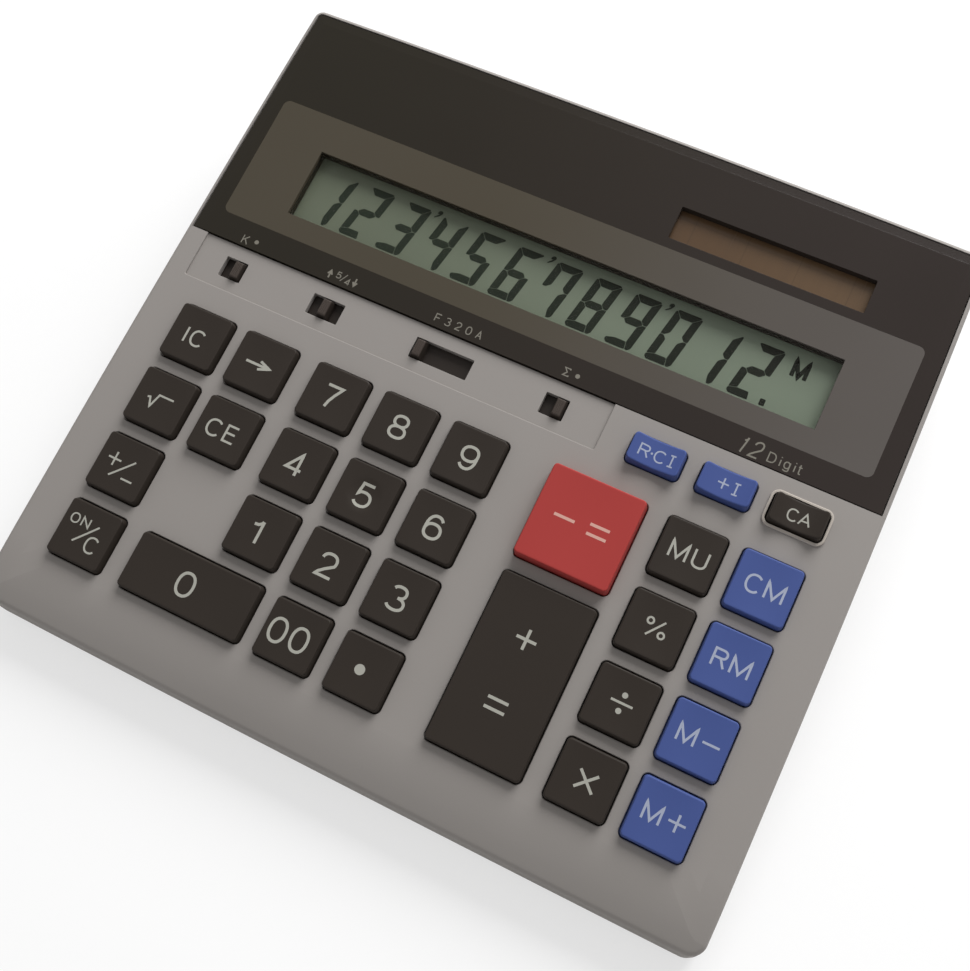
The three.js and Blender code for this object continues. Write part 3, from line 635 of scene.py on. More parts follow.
def flared_hole(low, high, radius, flare, bottom, mouth=0.0):
    """Rings of a cutter, a rounded rectangle whose mouth opens in a quarter round."""
    x, y = (low.x + high.x) / 2, (low.y + high.y) / 2
    width, depth = high.x - low.x, high.y - low.y

    def ring(out, z):
        return raised(rounded(x, y, width + 2 * out, depth + 2 * out, radius + out, side_steps=1), z)

    rings = [ring(0, bottom)]
    for i, (out, below) in enumerate(quarter_round(FLARE_STEPS)):
        rings.append(ring(flare * out, mouth - flare * below + FLARE_LIFT * i))
    rings.append(ring(flare, mouth + OVERRUN))
    return rings


# %% [markdown]
# Each key's place is read from the frame. The part of a CAD key above the deck is the cap, and
# its lowest ring there is the cap's full width. The red key stands higher than its neighbours.
# So do the three short keys behind the keypad, whose tops are hollowed like a saddle. The middle
# key of the numbers has a round dish for the finger.

# %% The keys' places
CAP_DISH = 0.22
LOW_KEY_DISH = 1.2
CLEAR_ALL_DISH = 1.9
FINGER_DISH = 0.42
FINGER_RADIUS = 4.4
KEY_DRAFT = 0.2
TOP_ROUND = 0.4
low_keys = {
    "key_count_recall": LOW_KEY_DISH,
    "key_count_plus": LOW_KEY_DISH,
    "key_clear_all": CLEAR_ALL_DISH,
}
key_slots = {s["node"]: s["material_slot"] for s in frame["record"]["subparts"]}
key_names = sorted(n for n in frame["nodes"] if n.startswith("key_") and n != "key_mat")


class Cap:
    """Where a key's cap is, and the height of its top at any place."""

    def __init__(self, node):
        self.node = node
        points = deck_points(node)
        self.bottom = min(p.z for p in points)
        self.crown = max(p.z for p in points)
        self.low, self.high = span([p for p in points if p.z > -NEAR])
        self.x, self.y = (self.low.x + self.high.x) / 2, (self.low.y + self.high.y) / 2
        self.width, self.depth = self.high.x - self.low.x, self.high.y - self.low.y
        self.dish = low_keys.get(node, CAP_DISH)

    def sag(self, x, y):
        """How far the top lies below its corners."""
        rim = KEY_DRAFT + TOP_ROUND
        u = min(abs(x - self.x) / (self.width / 2 - rim), 1)
        v = min(abs(y - self.y) / (self.depth / 2 - rim), 1)
        if self.node in low_keys:
            return self.dish * (1 - u * u)
        sag = self.dish * (1 - u * u) * (1 - v * v)
        if self.node == "key_five":
            reach = min(math.hypot(x - self.x, y - self.y) / FINGER_RADIUS, 1)
            sag += FINGER_DISH * (1 - reach * reach)
        return sag

    def top(self, x, y):
        """The height of the cap's top."""
        return self.crown - self.sag(x, y)


caps = {name: Cap(name) for name in key_names}
print("keys", len(caps), "heights", sorted({round(cap.crown, 2) for cap in caps.values()}))

# %% [markdown]
# The upper shell's inside, with its screw bosses and the floor under the display, is already
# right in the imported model. Its outside is drawn afresh with fine rounding. So the piece is the
# packed shell cut back a little, joined to a fine skin, and then cut with the flared cutters.

# %% Upper shell
SKIN = 1.5
SKIN_FLOOR = 2.38
INNER_INSET = 0.5
INNER_DROP = 0.3
HOLLOW_BELOW = 3
WELL_CLEARANCE = 0.31
KEY_CORNER = 1.2
WELL_FLARE = 0.28
THROUGH = 3.6
SEAM_TOP = 8.32
GUARD_WIDTH = 0.7
GUARD_HEIGHT = 0.8
GUARD_SAG = 0.5
GUARD_SAG_OVERHANG = 1
GUARD_PROFILE = [(0, -1.2), (0, 0.4), (0.05, 0.62), (0.16, 0.75), (0.32, GUARD_HEIGHT)]


def guard_rim(cap):
    """A low round-topped wall about one key, which follows the key's hollow top."""
    stack = []
    for inward, z in GUARD_PROFILE:
        grow = 2 * (WELL_CLEARANCE + GUARD_WIDTH - inward)
        radius = KEY_CORNER + WELL_CLEARANCE + GUARD_WIDTH - inward
        ring = []
        for p in rounded(cap.x, cap.y, cap.width + grow, cap.depth + grow, radius):
            u = (p.x - cap.x) / (cap.width / 2 + GUARD_SAG_OVERHANG)
            ring.append(Vector((p.x, p.y, z - GUARD_SAG * max(1 - u * u, 0) * max(z, 0))))
        stack.append(ring)
    return loft("guard_rim", stack)


def well(cap):
    """The cutter of one key's well. The guarded key's well opens at the top of its rim."""
    low = cap.low - Vector((WELL_CLEARANCE, WELL_CLEARANCE, 0))
    high = cap.high + Vector((WELL_CLEARANCE, WELL_CLEARANCE, 0))
    mouth = GUARD_HEIGHT if cap.node == "key_clear_all" else 0.0
    return flared_hole(low, high, KEY_CORNER + WELL_CLEARANCE, WELL_FLARE, -THROUGH, mouth)


upper = copy_of("top_case", "upper_shell")
carve(upper, "INTERSECT", case_block("inner_limit", INNER_INSET, INNER_DROP, bottom=0))
skin = case_block("skin", inset=0, drop=0, bottom=SEAM_TOP)
hollow = loft("hollow", [wall_at(SKIN, SEAM_TOP - HOLLOW_BELOW), raised(plan(SKIN), -SKIN_FLOOR)])
carve(skin, "DIFFERENCE", hollow)
carve(upper, "UNION", skin)
carve(upper, "UNION", guard_rim(caps["key_clear_all"]))
carve(upper, "DIFFERENCE", loft("wells", *[well(cap) for cap in caps.values()]))
print("upper shell", len(upper.data.polygons), "faces with its wells")

# %% [markdown]
# Behind the keys lies a shallow bar with the four slide switches, and behind that the pocket
# that the dark panel sits in. Both are cut with the same trumpet-mouthed cutters. The slots'
# places and lengths come from where each switch is and how far its joint lets it slide.

# %% Switch bar, slots and panel pocket
BAR_LEFT = -89.55
BAR_RIGHT = 26.95
BAR_DROP = 0.71
BAR_DEPTH = 12.7
BAR_BEHIND = 1.5
GAP = 0.3
SLOT_DEPTH = 5.62
PANEL_RIM = 1.09
POCKET_FLOOR = 2.41
KNOB_TOP = 0.7
NECK_BOTTOM = -2
knob_names = ["knob_constant", "knob_rounding", "knob_decimals", "knob_grand_total"]
bezel_low = span(deck_points("display_bezel"))[0]
PANEL_FRONT = bezel_low.y - GAP
knob_y = middle_y(knob_names[0])


def knob_crest(name):
    """The left and right side of a switch's knob where it passes the bar."""
    crest = [p for p in deck_points(name) if NECK_BOTTOM < p.z < 0]
    return min(p.x for p in crest), max(p.x for p in crest)


def slot_cutter(name):
    """The cutter of a switch's slot, as long as its knob can slide."""
    reach = next(j for j in frame["joints"] if j["child"] == name)["range_m"]
    left, right = knob_crest(name)
    low = Vector((left + reach[0] / MM - GAP, knob_y - SLOT_DEPTH / 2, 0))
    high = Vector((right + reach[1] / MM + GAP, knob_y + SLOT_DEPTH / 2, 0))
    return flared_hole(low, high, radius=0.25, flare=0.12, bottom=-THROUGH, mouth=-BAR_DROP)


def pocket_outline():
    """The pocket's outline: straight across the deck in front, and along the plan behind."""
    side = side_at(PANEL_FRONT) - PANEL_RIM
    front = [Vector((-side, PANEL_FRONT)), Vector((side, PANEL_FRONT))]
    return front + [p for p in plan(PANEL_RIM) if p.y > PANEL_FRONT]


bar_low = Vector((BAR_LEFT, PANEL_FRONT - BAR_DEPTH, 0))
bar_high = Vector((BAR_RIGHT, PANEL_FRONT + BAR_BEHIND, 0))
bar = loft("bar", flared_hole(bar_low, bar_high, radius=0.5, flare=0.22, bottom=-BAR_DROP))
slots = loft("slots", *[slot_cutter(name) for name in knob_names])
outline = pocket_outline()
pocket = loft("pocket", [raised(outline, -POCKET_FLOOR), raised(outline, OVERRUN)])
carve(upper, "DIFFERENCE", bar, slots, pocket)
finish(upper, "case", deck_finish, ["top_case"])

# %% [markdown]
# The lower shell is made the same way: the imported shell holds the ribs, the screw seats and the
# battery bay, and a fine skin gives it round corners and a round lower edge. The slot that the
# battery cover slides out through is cut from the skin again.

# %% Lower shell
FLOOR_BOTTOM = table_box("bottom_case")[0].z
FLOOR_ROUND = 1.2
FLOOR_LIFT = 0.01
LOWER_TOP = 7.99
INSIDE_RISE = 4
lower = copy_of("bottom_case", "lower_shell")
limits = FLOOR_BOTTOM - SHORT_OVERRUN, LOWER_TOP + INSIDE_RISE
carve(lower, "INTERSECT", loft("lower_limit", [wall_at(GAP, height) for height in limits]))
rings = []
for above, inward in quarter_round(6):
    rings.append(wall_at(FLOOR_ROUND * inward, FLOOR_BOTTOM + FLOOR_LIFT + FLOOR_ROUND * above))
rings.append(wall_at(0, LOWER_TOP))
skin = loft("lower_skin", rings)
inner = loft("lower_inner", [wall_at(SKIN, FLOOR_BOTTOM - OVERRUN), wall_at(SKIN, LOWER_TOP + OVERRUN)])
carve(skin, "DIFFERENCE", inner)
cover_low, cover_high = table_box("battery_cover")
reach = Vector((GAP, OVERRUN, GAP))
mouth = rounded_block("mouth", cover_low - reach, cover_high + reach, 0.2, corner_steps=2, side_steps=1)
mouth.data.transform(DECK.inverted() @ TABLE)
carve(skin, "DIFFERENCE", mouth)
carve(lower, "UNION", skin)
finish(lower, "case", case_finish, ["bottom_case"])

# %% [markdown]
# A key cap is a hollow box with a stem inside. One stack of rings draws all of it: out from the
# stem, down the inner wall, round the lip that keeps it under the deck, up the leaning side,
# over the rounded edge and in across the dished top. Extra rings beside the rounding keep its
# shading crisp.

# %% Key caps
LIP_REACH = 0.9
LIP_TOP = -2.7
LIP_BOTTOM = -3.9
CAP_WALL = 1.3
CAP_ROOF = 1.6
STEM = 2.4
STEM_IN_ROOF = 0.5
LONG_KEY = 30
INNER_CORNER = 0.35
SIDE_SHARES = [0.5, 0.94, 1]
TOP_SHARES = [0.97, 0.93, 0.87, 0.8, 0.72, 0.64, 0.56, 0.48, 0.4, 0.3, 0.2, 0.1, 0.03]
ROUND_FROM_SHARE = 0.9
ROUND_OVER_SHARE = 0.25


def cap_ring(cap, inset, z, share=1.0):
    """A ring of a cap, drawn in by an inset and then shrunk about the cap's middle.

    The rings in the finger's round dish turn from squares into circles as they shrink.
    """
    radius = max(KEY_CORNER - inset, INNER_CORNER)
    width, depth = cap.width - 2 * inset, cap.depth - 2 * inset
    ring = []
    for p in rounded(cap.x, cap.y, width, depth, radius):
        away = p - Vector((cap.x, cap.y))
        if cap.node == "key_five" and share < ROUND_FROM_SHARE:
            circle = away.normalized() * min(width, depth) / 2
            away = away.lerp(circle, min((ROUND_FROM_SHARE - share) / ROUND_OVER_SHARE, 1))
        x, y = cap.x + away.x * share, cap.y + away.y * share
        height = z - cap.sag(x, y) * max(z / cap.crown, 0)
        ring.append(Vector((x, y, height)))
    return ring


def stem(x, y, bottom, top):
    """The two rings of a stem, nearly round."""
    outline = rounded(x, y, 2 * STEM, 2 * STEM, STEM * 0.94)
    return [raised(outline, bottom), raised(outline, top)]


def inside_of(cap, roof):
    """Rings from the stem out to the inner wall. A long key has two stems, stacks of their own."""
    long = max(cap.width, cap.depth)
    if long < LONG_KEY:
        return stem(cap.x, cap.y, cap.bottom, roof), []
    x, y = (long / 4, 0) if cap.width > cap.depth else (0, long / 4)
    top = roof + STEM_IN_ROOF
    stems = [stem(cap.x + x * side, cap.y + y * side, cap.bottom, top) for side in (-1, 1)]
    return [raised(cap_ring(cap, CAP_WALL, 0, 0.1), roof)], stems


def make_cap(cap):
    """A key's cap: inside, lip, side, rounded edge and top, in that order."""
    roof = cap.crown - CAP_ROOF - cap.dish * (cap.node in low_keys)
    rings, stems = inside_of(cap, roof)
    walls = [(CAP_WALL, roof), (CAP_WALL, LIP_BOTTOM), (-LIP_REACH, LIP_BOTTOM), (-LIP_REACH, LIP_TOP)]
    for inset, z in [*walls, (0, LIP_TOP)]:
        rings.append(raised(cap_ring(cap, inset, 0), z))
    rings.append(cap_ring(cap, 0, 0))
    for share in SIDE_SHARES:
        rings.append(cap_ring(cap, KEY_DRAFT * share, (cap.crown - TOP_ROUND) * share))
    for inward, below in quarter_round(6)[1:]:
        rings.append(cap_ring(cap, KEY_DRAFT + TOP_ROUND * inward, cap.crown - TOP_ROUND * below))
    for share in TOP_SHARES:
        rings.append(cap_ring(cap, KEY_DRAFT + TOP_ROUND, cap.crown, share))
    name = cap.node.replace("key_", "cap_")
    made = loft(name, rings, *stems)
    slot = key_slots[cap.node]
    return finish(made, cap.node, key_finishes[slot], [cap.node])


for cap in caps.values():
    make_cap(cap)

# %% [markdown]
# The legends are moulded through the key in pale plastic, as strokes of even width. A font would
# bring someone's letter shapes with it, so each sign is drawn here as the path of a pen: straight
# runs and bows, in a box that is 1 wide and 1 high.

# %% Signs as pen paths
BOW_STEP = 12


def bow(x, y, rx, ry, start, end, power=2.25):
    """Points on a slightly squared oval, from one angle to another, in degrees."""
    steps = max(6, int(abs(end - start) / BOW_STEP))
    points = []
    for i in range(steps + 1):
        angle = math.radians(start + (end - start) * i / steps)
        c, s = math.cos(angle), math.sin(angle)
        px = x + rx * math.copysign(abs(c) ** (2 / power), c)
        py = y + ry * math.copysign(abs(s) ** (2 / power), s)
        points.append((px, py))
    return points


oval = [bow(0.5, 0.5, 0.5, 0.5, 0, 360)]
six = [bow(0.5, 0.5, 0.5, 0.5, 38, 180) + [(0, 0.34)], bow(0.5, 0.32, 0.5, 0.32, 0, 360)]
PATHS = {
    "0": oval,
    "1": [[(0.62, 0), (0.62, 1)], [(0.1, 0.79), (0.36, 0.81), (0.54, 0.9), (0.6, 1)]],
    "2": [bow(0.5, 0.7, 0.47, 0.3, 172, -28) + [(0.45, 0.32), (0.12, 0.12), (0.02, 0), (1, 0)]],
    "3": [bow(0.46, 0.76, 0.43, 0.24, 155, -90), bow(0.46, 0.26, 0.52, 0.26, 90, -158)],
    "4": [[(0.74, 0), (0.74, 1), (0, 0.27), (1, 0.27)]],
    "5": [[(0.92, 1), (0.2, 1), (0.09, 0.5)] + bow(0.48, 0.32, 0.5, 0.32, 122, -155)],
    "6": six,
    "7": [[(0, 1), (1, 1), (0.66, 0.6), (0.45, 0.28), (0.36, 0)]],
    "8": [bow(0.5, 0.76, 0.43, 0.24, 0, 360), bow(0.5, 0.26, 0.5, 0.26, 0, 360)],
    "9": [[(1 - x, 1 - y) for x, y in path] for path in six],
    "A": [[(0, 0), (0.5, 1), (1, 0)], [(0.19, 0.34), (0.81, 0.34)]],
    "C": [bow(0.5, 0.5, 0.5, 0.5, 42, 318)],
    "D": [[(0, 0), (0, 1), (0.45, 1)] + bow(0.45, 0.5, 0.55, 0.5, 80, -90) + [(0, 0)]],
    "E": [[(1, 1), (0, 1), (0, 0), (1, 0)], [(0, 0.53), (0.9, 0.53)]],
    "F": [[(1, 1), (0, 1), (0, 0)], [(0, 0.5), (0.86, 0.5)]],
    "I": [[(0.5, 0), (0.5, 1)]],
    "I_bar": [[(0.5, 0), (0.5, 1)], [(0, 0), (1, 0)], [(0, 1), (1, 1)]],
    "K": [[(0, 0), (0, 1)], [(0.95, 1), (0, 0.36)], [(0.36, 0.6), (1, 0)]],
    "M": [[(0, 0), (0, 1), (0.5, 0.06), (1, 1), (1, 0)]],
    "N": [[(0, 0), (0, 1), (1, 0), (1, 1)]],
    "O": oval,
    "R": [
        [(0, 0), (0, 1), (0.55, 1)] + bow(0.6, 0.76, 0.38, 0.24, 80, -90) + [(0, 0.52)],
        [(0.58, 0.52), (1, 0)],
    ],
    "U": [[(0, 1), (0, 0.3)] + bow(0.5, 0.32, 0.5, 0.32, 185, 355) + [(1, 0.3), (1, 1)]],
    "+": [[(0, 0.5), (1, 0.5)], [(0.5, 0), (0.5, 1)]],
    "-": [[(0, 0.5), (1, 0.5)]],
    "x": [[(0, 0), (1, 1)], [(0, 1), (1, 0)]],
    "/": [[(0, 0), (1, 1)]],
    "root": [[(0, 0.6), (0.1, 0.65), (0.24, 0), (0.4, 1), (1, 1)]],
    "arrow": [[(0, 0.5), (0.92, 0.5)], [(0.55, 0), (1, 0.5), (0.55, 1)]],
    "sum": [[(0.95, 0.85), (0.95, 1), (0, 1), (0.55, 0.5), (0, 0), (0.95, 0), (0.95, 0.15)]],
    "up": [[(0.5, 0), (0.5, 0.9)], [(0, 0.5), (0.5, 1), (1, 0.5)]],
    "down": [[(0.5, 0.1), (0.5, 1)], [(0, 0.5), (0.5, 0), (1, 0.5)]],
    "ring": [bow(0.5, 0.5, 0.5, 0.5, 0, 360, 2)],
    "i": [[(0.5, 0), (0.5, 0.68)], [(0.5, 0.9), (0.5, 1)]],
    "g": [bow(0.5, 0.65, 0.5, 0.35, 0, 360), [(1, 1), (1, 0.2)] + bow(0.5, 0.2, 0.5, 0.2, -5, -160)],
    "t": [[(0.4, 1), (0.4, 0.12), (0.55, 0), (1, 0)], [(0, 0.72), (1, 0.72)]],
}

# %% [markdown]
# A pen path has few points. Before it is given a width it is cleaned of points that repeat, and
# gets points in between, so that the stroke can follow the hollow of the key under it.

# %% Pacing a path
STEP = 0.45
REPEAT = 0.02
CLOSED = 0.03


def paced(path):
    """The same path with points no further apart than a step."""
    points = [path[0]]
    for a, b in zip(path, path[1:]):
        count = max(1, math.ceil((b - a).length / STEP))
        points += [a.lerp(b, i / count) for i in range(1, count + 1)]
    return points


def cleaned(path):
    """A path without points that repeat."""
    points = [path[0]]
    for p in path[1:]:
        if (p - points[-1]).length > REPEAT:
            points.append(p)
    return points


# %% [markdown]
# A path becomes a ribbon: each point is pushed half the stroke's width to both sides, corners
# are mitred, and the band gets a thickness that sinks into the surface under it. Its top follows
# the dish of the key, a hundredth of a millimetre proud, so that it never flickers through it.
# Where two strokes of a sign cross, the later one lies a hair higher.

# %% Strokes
INK_DEPTH = 0.12
INK_PROUD = 0.014
STAGGER = 0.0016
MITRE_LIMIT = 0.45
DOT_SIDES = 20


def ink_pair(x, y, height_at, order):
    """A point on the ink's top and the point under it."""
    top = height_at(x, y) + INK_PROUD + order * STAGGER
    return [Vector((x, y, top)), Vector((x, y, top - INK_DEPTH))]


def sideways(before, here, after):
    """The mitred direction to the left of a path at a point, longer where the path bends."""
    out = (after - here).normalized() if after is not None else (here - before).normalized()
    into = (here - before).normalized() if before is not None else out
    along = (into + out).normalized() if (into + out).length > 0.1 else out
    across = Vector((-along.y, along.x))
    return across / max(across.dot(Vector((-out.y, out.x))), MITRE_LIMIT)


def stroke(path, width, height_at, order):
    """Points and faces of one ribbon. A closed path gives a closed band."""
    points = paced(cleaned(path))
    closed = (points[0] - points[-1]).length < CLOSED
    if closed:
        points.pop()
    count = len(points)
    places = []
    for i, p in enumerate(points):
        before = points[i - 1] if i or closed else None
        after = points[(i + 1) % count] if i < count - 1 or closed else None
        push = sideways(before, p, after) * width / 2
        for q in (p + push, p - push):
            places += ink_pair(q.x, q.y, height_at, order)
    faces = []
    for i in range(count if closed else count - 1):
        a = 4 * i
        b = 4 * ((i + 1) % count)
        faces += [(a, b, b + 2, a + 2), (a + 1, a + 3, b + 3, b + 1)]
        faces += [(a, a + 1, b + 1, b), (a + 2, b + 2, b + 3, a + 3)]
    if not closed:
        last = 4 * (count - 1)
        faces += [(0, 2, 3, 1), (last, last + 1, last + 3, last + 2)]
    return places, faces


def dot(x, y, radius, height_at, order):
    """Points and faces of a round dot."""
    sides = range(DOT_SIDES)
    places = []
    for i in sides:
        angle = 2 * math.pi * i / DOT_SIDES
        places += ink_pair(x + radius * math.cos(angle), y + radius * math.sin(angle), height_at, order)
    faces = [tuple(2 * i for i in sides), tuple(2 * i + 1 for i in reversed(sides))]
    for i in sides:
        a, b = 2 * i, 2 * ((i + 1) % DOT_SIDES)
        faces.append((a, a + 1, b + 1, b))
    return places, faces


def draw(name, marks, middle, height_at, lean=0.0):
    """One object from marks: sign, x, y, width, height and stroke, about a middle point."""
    parts = []
    for sign, x, y, width, height, pen in marks:
        if sign == "dot":
            parts.append(dot(middle.x + x, middle.y + y, width / 2, height_at, len(parts)))
            continue
        left = middle.x + x - width / 2 + pen / 2
        front = middle.y + y - height / 2 + pen / 2
        wide, high = width - pen, height - pen
        for path in PATHS[sign]:
            line = [Vector((left + px * wide + lean * py * high, front + py * high)) for px, py in path]
            parts.append(stroke(line, pen, height_at, len(parts)))
    return gathered(name, parts)


# %% [markdown]
# The signs' sizes and places were read off a straightened view of the keypad: each is given from
# the middle of its key, in millimetres. The digits are 6.4 high with a heavy pen, the letters
# 4.6 high with a lighter one. The nine digits creep a little from key to key, so a loop places
# them, and the slim 1 stands further left. The pale plastic is thin, so a little of the cap's
# colour comes through it, and each colour of cap has its own ink.

# %% Legends on the keys
HEAVY = 0.74
PEN = 0.56
THIN = 0.48
FINE = 0.38
DIGIT_WIDTH = 4.8
DIGIT_HEIGHT = 6.4
DIGIT_CREEP = 0.06
ONE_SHIFT = 0.4
LEGENDS = {}
for row, words in enumerate(("seven eight nine", "four five six", "one two three")):
    for column, word in enumerate(words.split()):
        sign = str(7 - 3 * row + column)
        x = -0.13 + DIGIT_CREEP * column - ONE_SHIFT * (sign == "1")
        y = -0.15 - DIGIT_CREEP * row
        LEGENDS[f"key_{word}"] = [(sign, x, y, DIGIT_WIDTH, DIGIT_HEIGHT, HEAVY)]
LEGENDS |= {
    "key_zero": [("0", -0.86, -0.18, 5.0, 6.5, HEAVY)],
    "key_double_zero": [("0", -3.57, -0.18, 4.75, 6.5, HEAVY), ("0", 2.23, -0.18, 4.75, 6.5, HEAVY)],
    "key_point": [("dot", -0.56, -0.03, 2.6, 2.6, PEN)],
    "key_item_count": [("I", -2.75, -0.40, PEN, 4.6, PEN), ("C", 0.65, -0.40, 4.1, 4.6, PEN)],
    "key_backspace": [("arrow", -0.34, -0.20, 7.4, 2.9, 0.66)],
    "key_square_root": [("root", -0.05, -0.51, 7.4, 4.1, 0.5)],
    "key_clear_entry": [("C", -2.49, -0.36, 4.3, 4.7, PEN), ("E", 2.26, -0.36, 3.4, 4.7, PEN)],
    "key_sign": [
        ("+", -2.85, 1.06, 4.1, 4.1, THIN),
        ("/", 0.15, -0.52, 5.6, 6.0, THIN),
        ("-", 2.65, -2.82, 3.7, THIN, THIN),
    ],
    "key_on_clear": [
        ("O", -4.20, 2.67, 2.5, 2.7, FINE),
        ("N", -1.15, 2.67, 2.4, 2.7, FINE),
        ("/", 0.25, 0.12, 5.4, 6.1, THIN),
        ("C", 3.00, -1.83, 3.7, 4.4, THIN),
    ],
    "key_minus_equals": [
        ("-", -4.27, 0.32, 6.0, HEAVY, HEAVY),
        ("-", 4.38, 1.52, 5.7, HEAVY, HEAVY),
        ("-", 4.38, -0.88, 5.7, HEAVY, HEAVY),
    ],
    "key_plus_equals": [
        ("+", -0.16, 8.46, 5.75, 5.75, HEAVY),
        ("-", -0.01, -6.74, 5.9, HEAVY, HEAVY),
        ("-", -0.01, -9.14, 5.9, HEAVY, HEAVY),
    ],
    "key_mark_up": [("M", -2.18, 0, 4.55, 4.7, PEN), ("U", 3.12, 0, 3.8, 4.7, PEN)],
    "key_memory_clear": [("C", -2.42, 0, 4.1, 4.7, PEN), ("M", 2.68, 0, 4.65, 4.7, PEN)],
    "key_memory_recall": [("R", -2.67, -0.16, 3.6, 4.6, PEN), ("M", 2.38, -0.16, 4.7, 4.6, PEN)],
    "key_memory_minus": [("M", -2.52, 0.08, 4.5, 4.6, PEN), ("-", 3.23, 0.08, 4.65, PEN, PEN)],
    "key_memory_plus": [("M", -2.52, 0.12, 4.5, 4.6, PEN), ("+", 3.23, 0.32, 4.6, 4.6, PEN)],
    "key_percent": [
        ("ring", -1.43, 1.24, 1.95, 1.95, THIN),
        ("ring", 2.07, -1.16, 1.95, 1.95, THIN),
        ("/", 0.32, -0.06, 3.9, 4.8, THIN),
    ],
    "key_divide": [
        ("-", 0.32, 0.08, 5.9, PEN, PEN),
        ("dot", 0.32, 1.98, 1.4, 1.4, PEN),
        ("dot", 0.32, -1.82, 1.4, 1.4, PEN),
    ],
    "key_multiply": [("x", 0.32, -0.13, 5.1, 4.9, 0.68)],
    "key_count_recall": [
        ("R", -2.95, -0.20, 2.7, 3.2, FINE),
        ("dot", -1.05, -0.15, 0.55, 0.55, FINE),
        ("C", 1.10, -0.20, 3.0, 3.2, FINE),
        ("I_bar", 4.00, -0.20, 1.7, 3.2, FINE),
    ],
    "key_count_plus": [("+", -0.80, 0.05, 3.1, 3.1, FINE), ("I_bar", 2.45, -0.20, 1.75, 3.2, FINE)],
    "key_clear_all": [("C", -1.25, -0.20, 2.85, 3.2, FINE), ("A", 1.75, -0.20, 2.95, 3.2, FINE)],
}

ink_look = (0.03, 0.5, 0.2, 0.003, 0.15)
inks = {
    "key_black": moulded("legend_on_black", light(167, 166, 157), *ink_look),
    "key_blue": moulded("legend_on_blue", light(160, 167, 187), *ink_look),
    "key_red": moulded("legend_on_red", light(206, 160, 148), *ink_look),
}
for node, marks in LEGENDS.items():
    cap = caps[node]
    made = draw(node.replace("key_", "legend_"), marks, Vector((cap.x, cap.y)), cap.top)
    finish(made, node, inks[key_slots[node]])
print("legends", len(LEGENDS))

# %% [markdown]
# The dark panel is one glossy plate, printed brown on its back. Light that enters its polished
# edge makes the bevel look a shade paler than its face. The plate has a shallow recess for the
# display strip, a window with a short collar that keeps stray light off the display, and a
# smaller window over the solar cell.

# %% Panel plate
PLATE = 2.1
BEVEL_WIDTH = 2.4
BEVEL_DROP = 0.15
BEVEL_PROFILE = [
    (0, -PLATE),
    (0, -BEVEL_DROP - 0.06),
    (0.05, -BEVEL_DROP),
    (BEVEL_WIDTH - 0.25, -0.04),
    (BEVEL_WIDTH - 0.08, -0.01),
    (BEVEL_WIDTH + 0.15, 0),
]
bezel = loft("panel_plate", [raised(plan(PANEL_RIM + GAP + inset), z) for inset, z in BEVEL_PROFILE])
far = Vector((2 * HALF_WIDTH, 2 * HALF_WIDTH, 9))
keep_from = Vector((-far.x, bezel_low.y, -far.z))
carve(bezel, "INTERSECT", rounded_block("keep", keep_from, far, 1, corner_steps=1, side_steps=1))
print("panel plate", len(bezel.data.polygons), "faces")

# %% [markdown]
# Three openings go into the plate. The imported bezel's lowest points give the collar's corners,
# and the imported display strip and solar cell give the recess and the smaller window.

# %% Collar, recess and windows
COLLAR_WALL = 1.8
COLLAR_TOP = -1.5
WINDOW_MOUTH = -0.9
LENS_CORNER = 1.5
SOLAR_MARGIN = 2.2
PANEL_REFLECTION_SPAN = (-0.09, 0.09)
collar_low, collar_high = span([p for p in deck_points("display_bezel") if p.z < bezel_low.z + NEAR])
WINDOW_LOW = Vector((collar_low.x + COLLAR_WALL, collar_low.y + COLLAR_WALL, 0))
WINDOW_HIGH = Vector((collar_high.x - COLLAR_WALL, collar_high.y - COLLAR_WALL, 0))
collar_high.z = COLLAR_TOP
carve(bezel, "UNION", rounded_block("collar", collar_low, collar_high, 0.3))
window_floor = bezel_low.z - SHORT_OVERRUN
window_hole = flared_hole(WINDOW_LOW, WINDOW_HIGH, 0.35, 0.1, window_floor, WINDOW_MOUTH)
carve(bezel, "DIFFERENCE", loft("window_hole", window_hole))

lens_low, lens_high = span(deck_points("display_lens"))
recess_from = lens_low - Vector((GAP, GAP, NEAR))
recess_to = Vector((lens_high.x + GAP, lens_high.y + GAP, OVERRUN))
carve(bezel, "DIFFERENCE", rounded_block("recess", recess_from, recess_to, LENS_CORNER + GAP))

solar_low, solar_high = span(deck_points("solar_cell"))
margin = Vector((SOLAR_MARGIN, SOLAR_MARGIN, 0))
solar_hole = flared_hole(solar_low + margin, solar_high - margin, 0.3, 0.08, -PLATE - SHORT_OVERRUN)
carve(bezel, "DIFFERENCE", loft("solar_hole", solar_hole))


def panel_gloss():
    """Dark brown print behind polished clear plastic, with a painted reflection that makes it paler to the right.
    """
    made = Finish("panel_gloss", Specular_IOR_Level=0.12)
    slow = made.noise(60)
    dust = made.noise(0.9, 3.0)
    across = made.ramp(made.axis("X"), *PANEL_REFLECTION_SPAN)
    left = light(37, 33, 26), light(41, 37, 29)
    right = light(45, 39, 36), light(52, 45, 42)
    # The base turns paler to the right: a painted reflection of brighter surroundings on that side.
    made.feed("Base Color", made.two_tone(slow, across, left, right))
    made.feed("Roughness", slow * 0.05 + dust * 0.06 + 0.13)
    return made.grain(slow, 0.02)


finish(bezel, "case", panel_gloss(), ["display_bezel"])

# %% [markdown]
# The strip over the display is clear, with a paler band printed round its window. In the real
# panel nothing but that change of colour shows where the strip begins, so it fills its recess to
# a hair. Seen from the front it is one sheet: the band is solid, and the window lets the display
# through. Alpha does both in one finish, with a soft step between them.

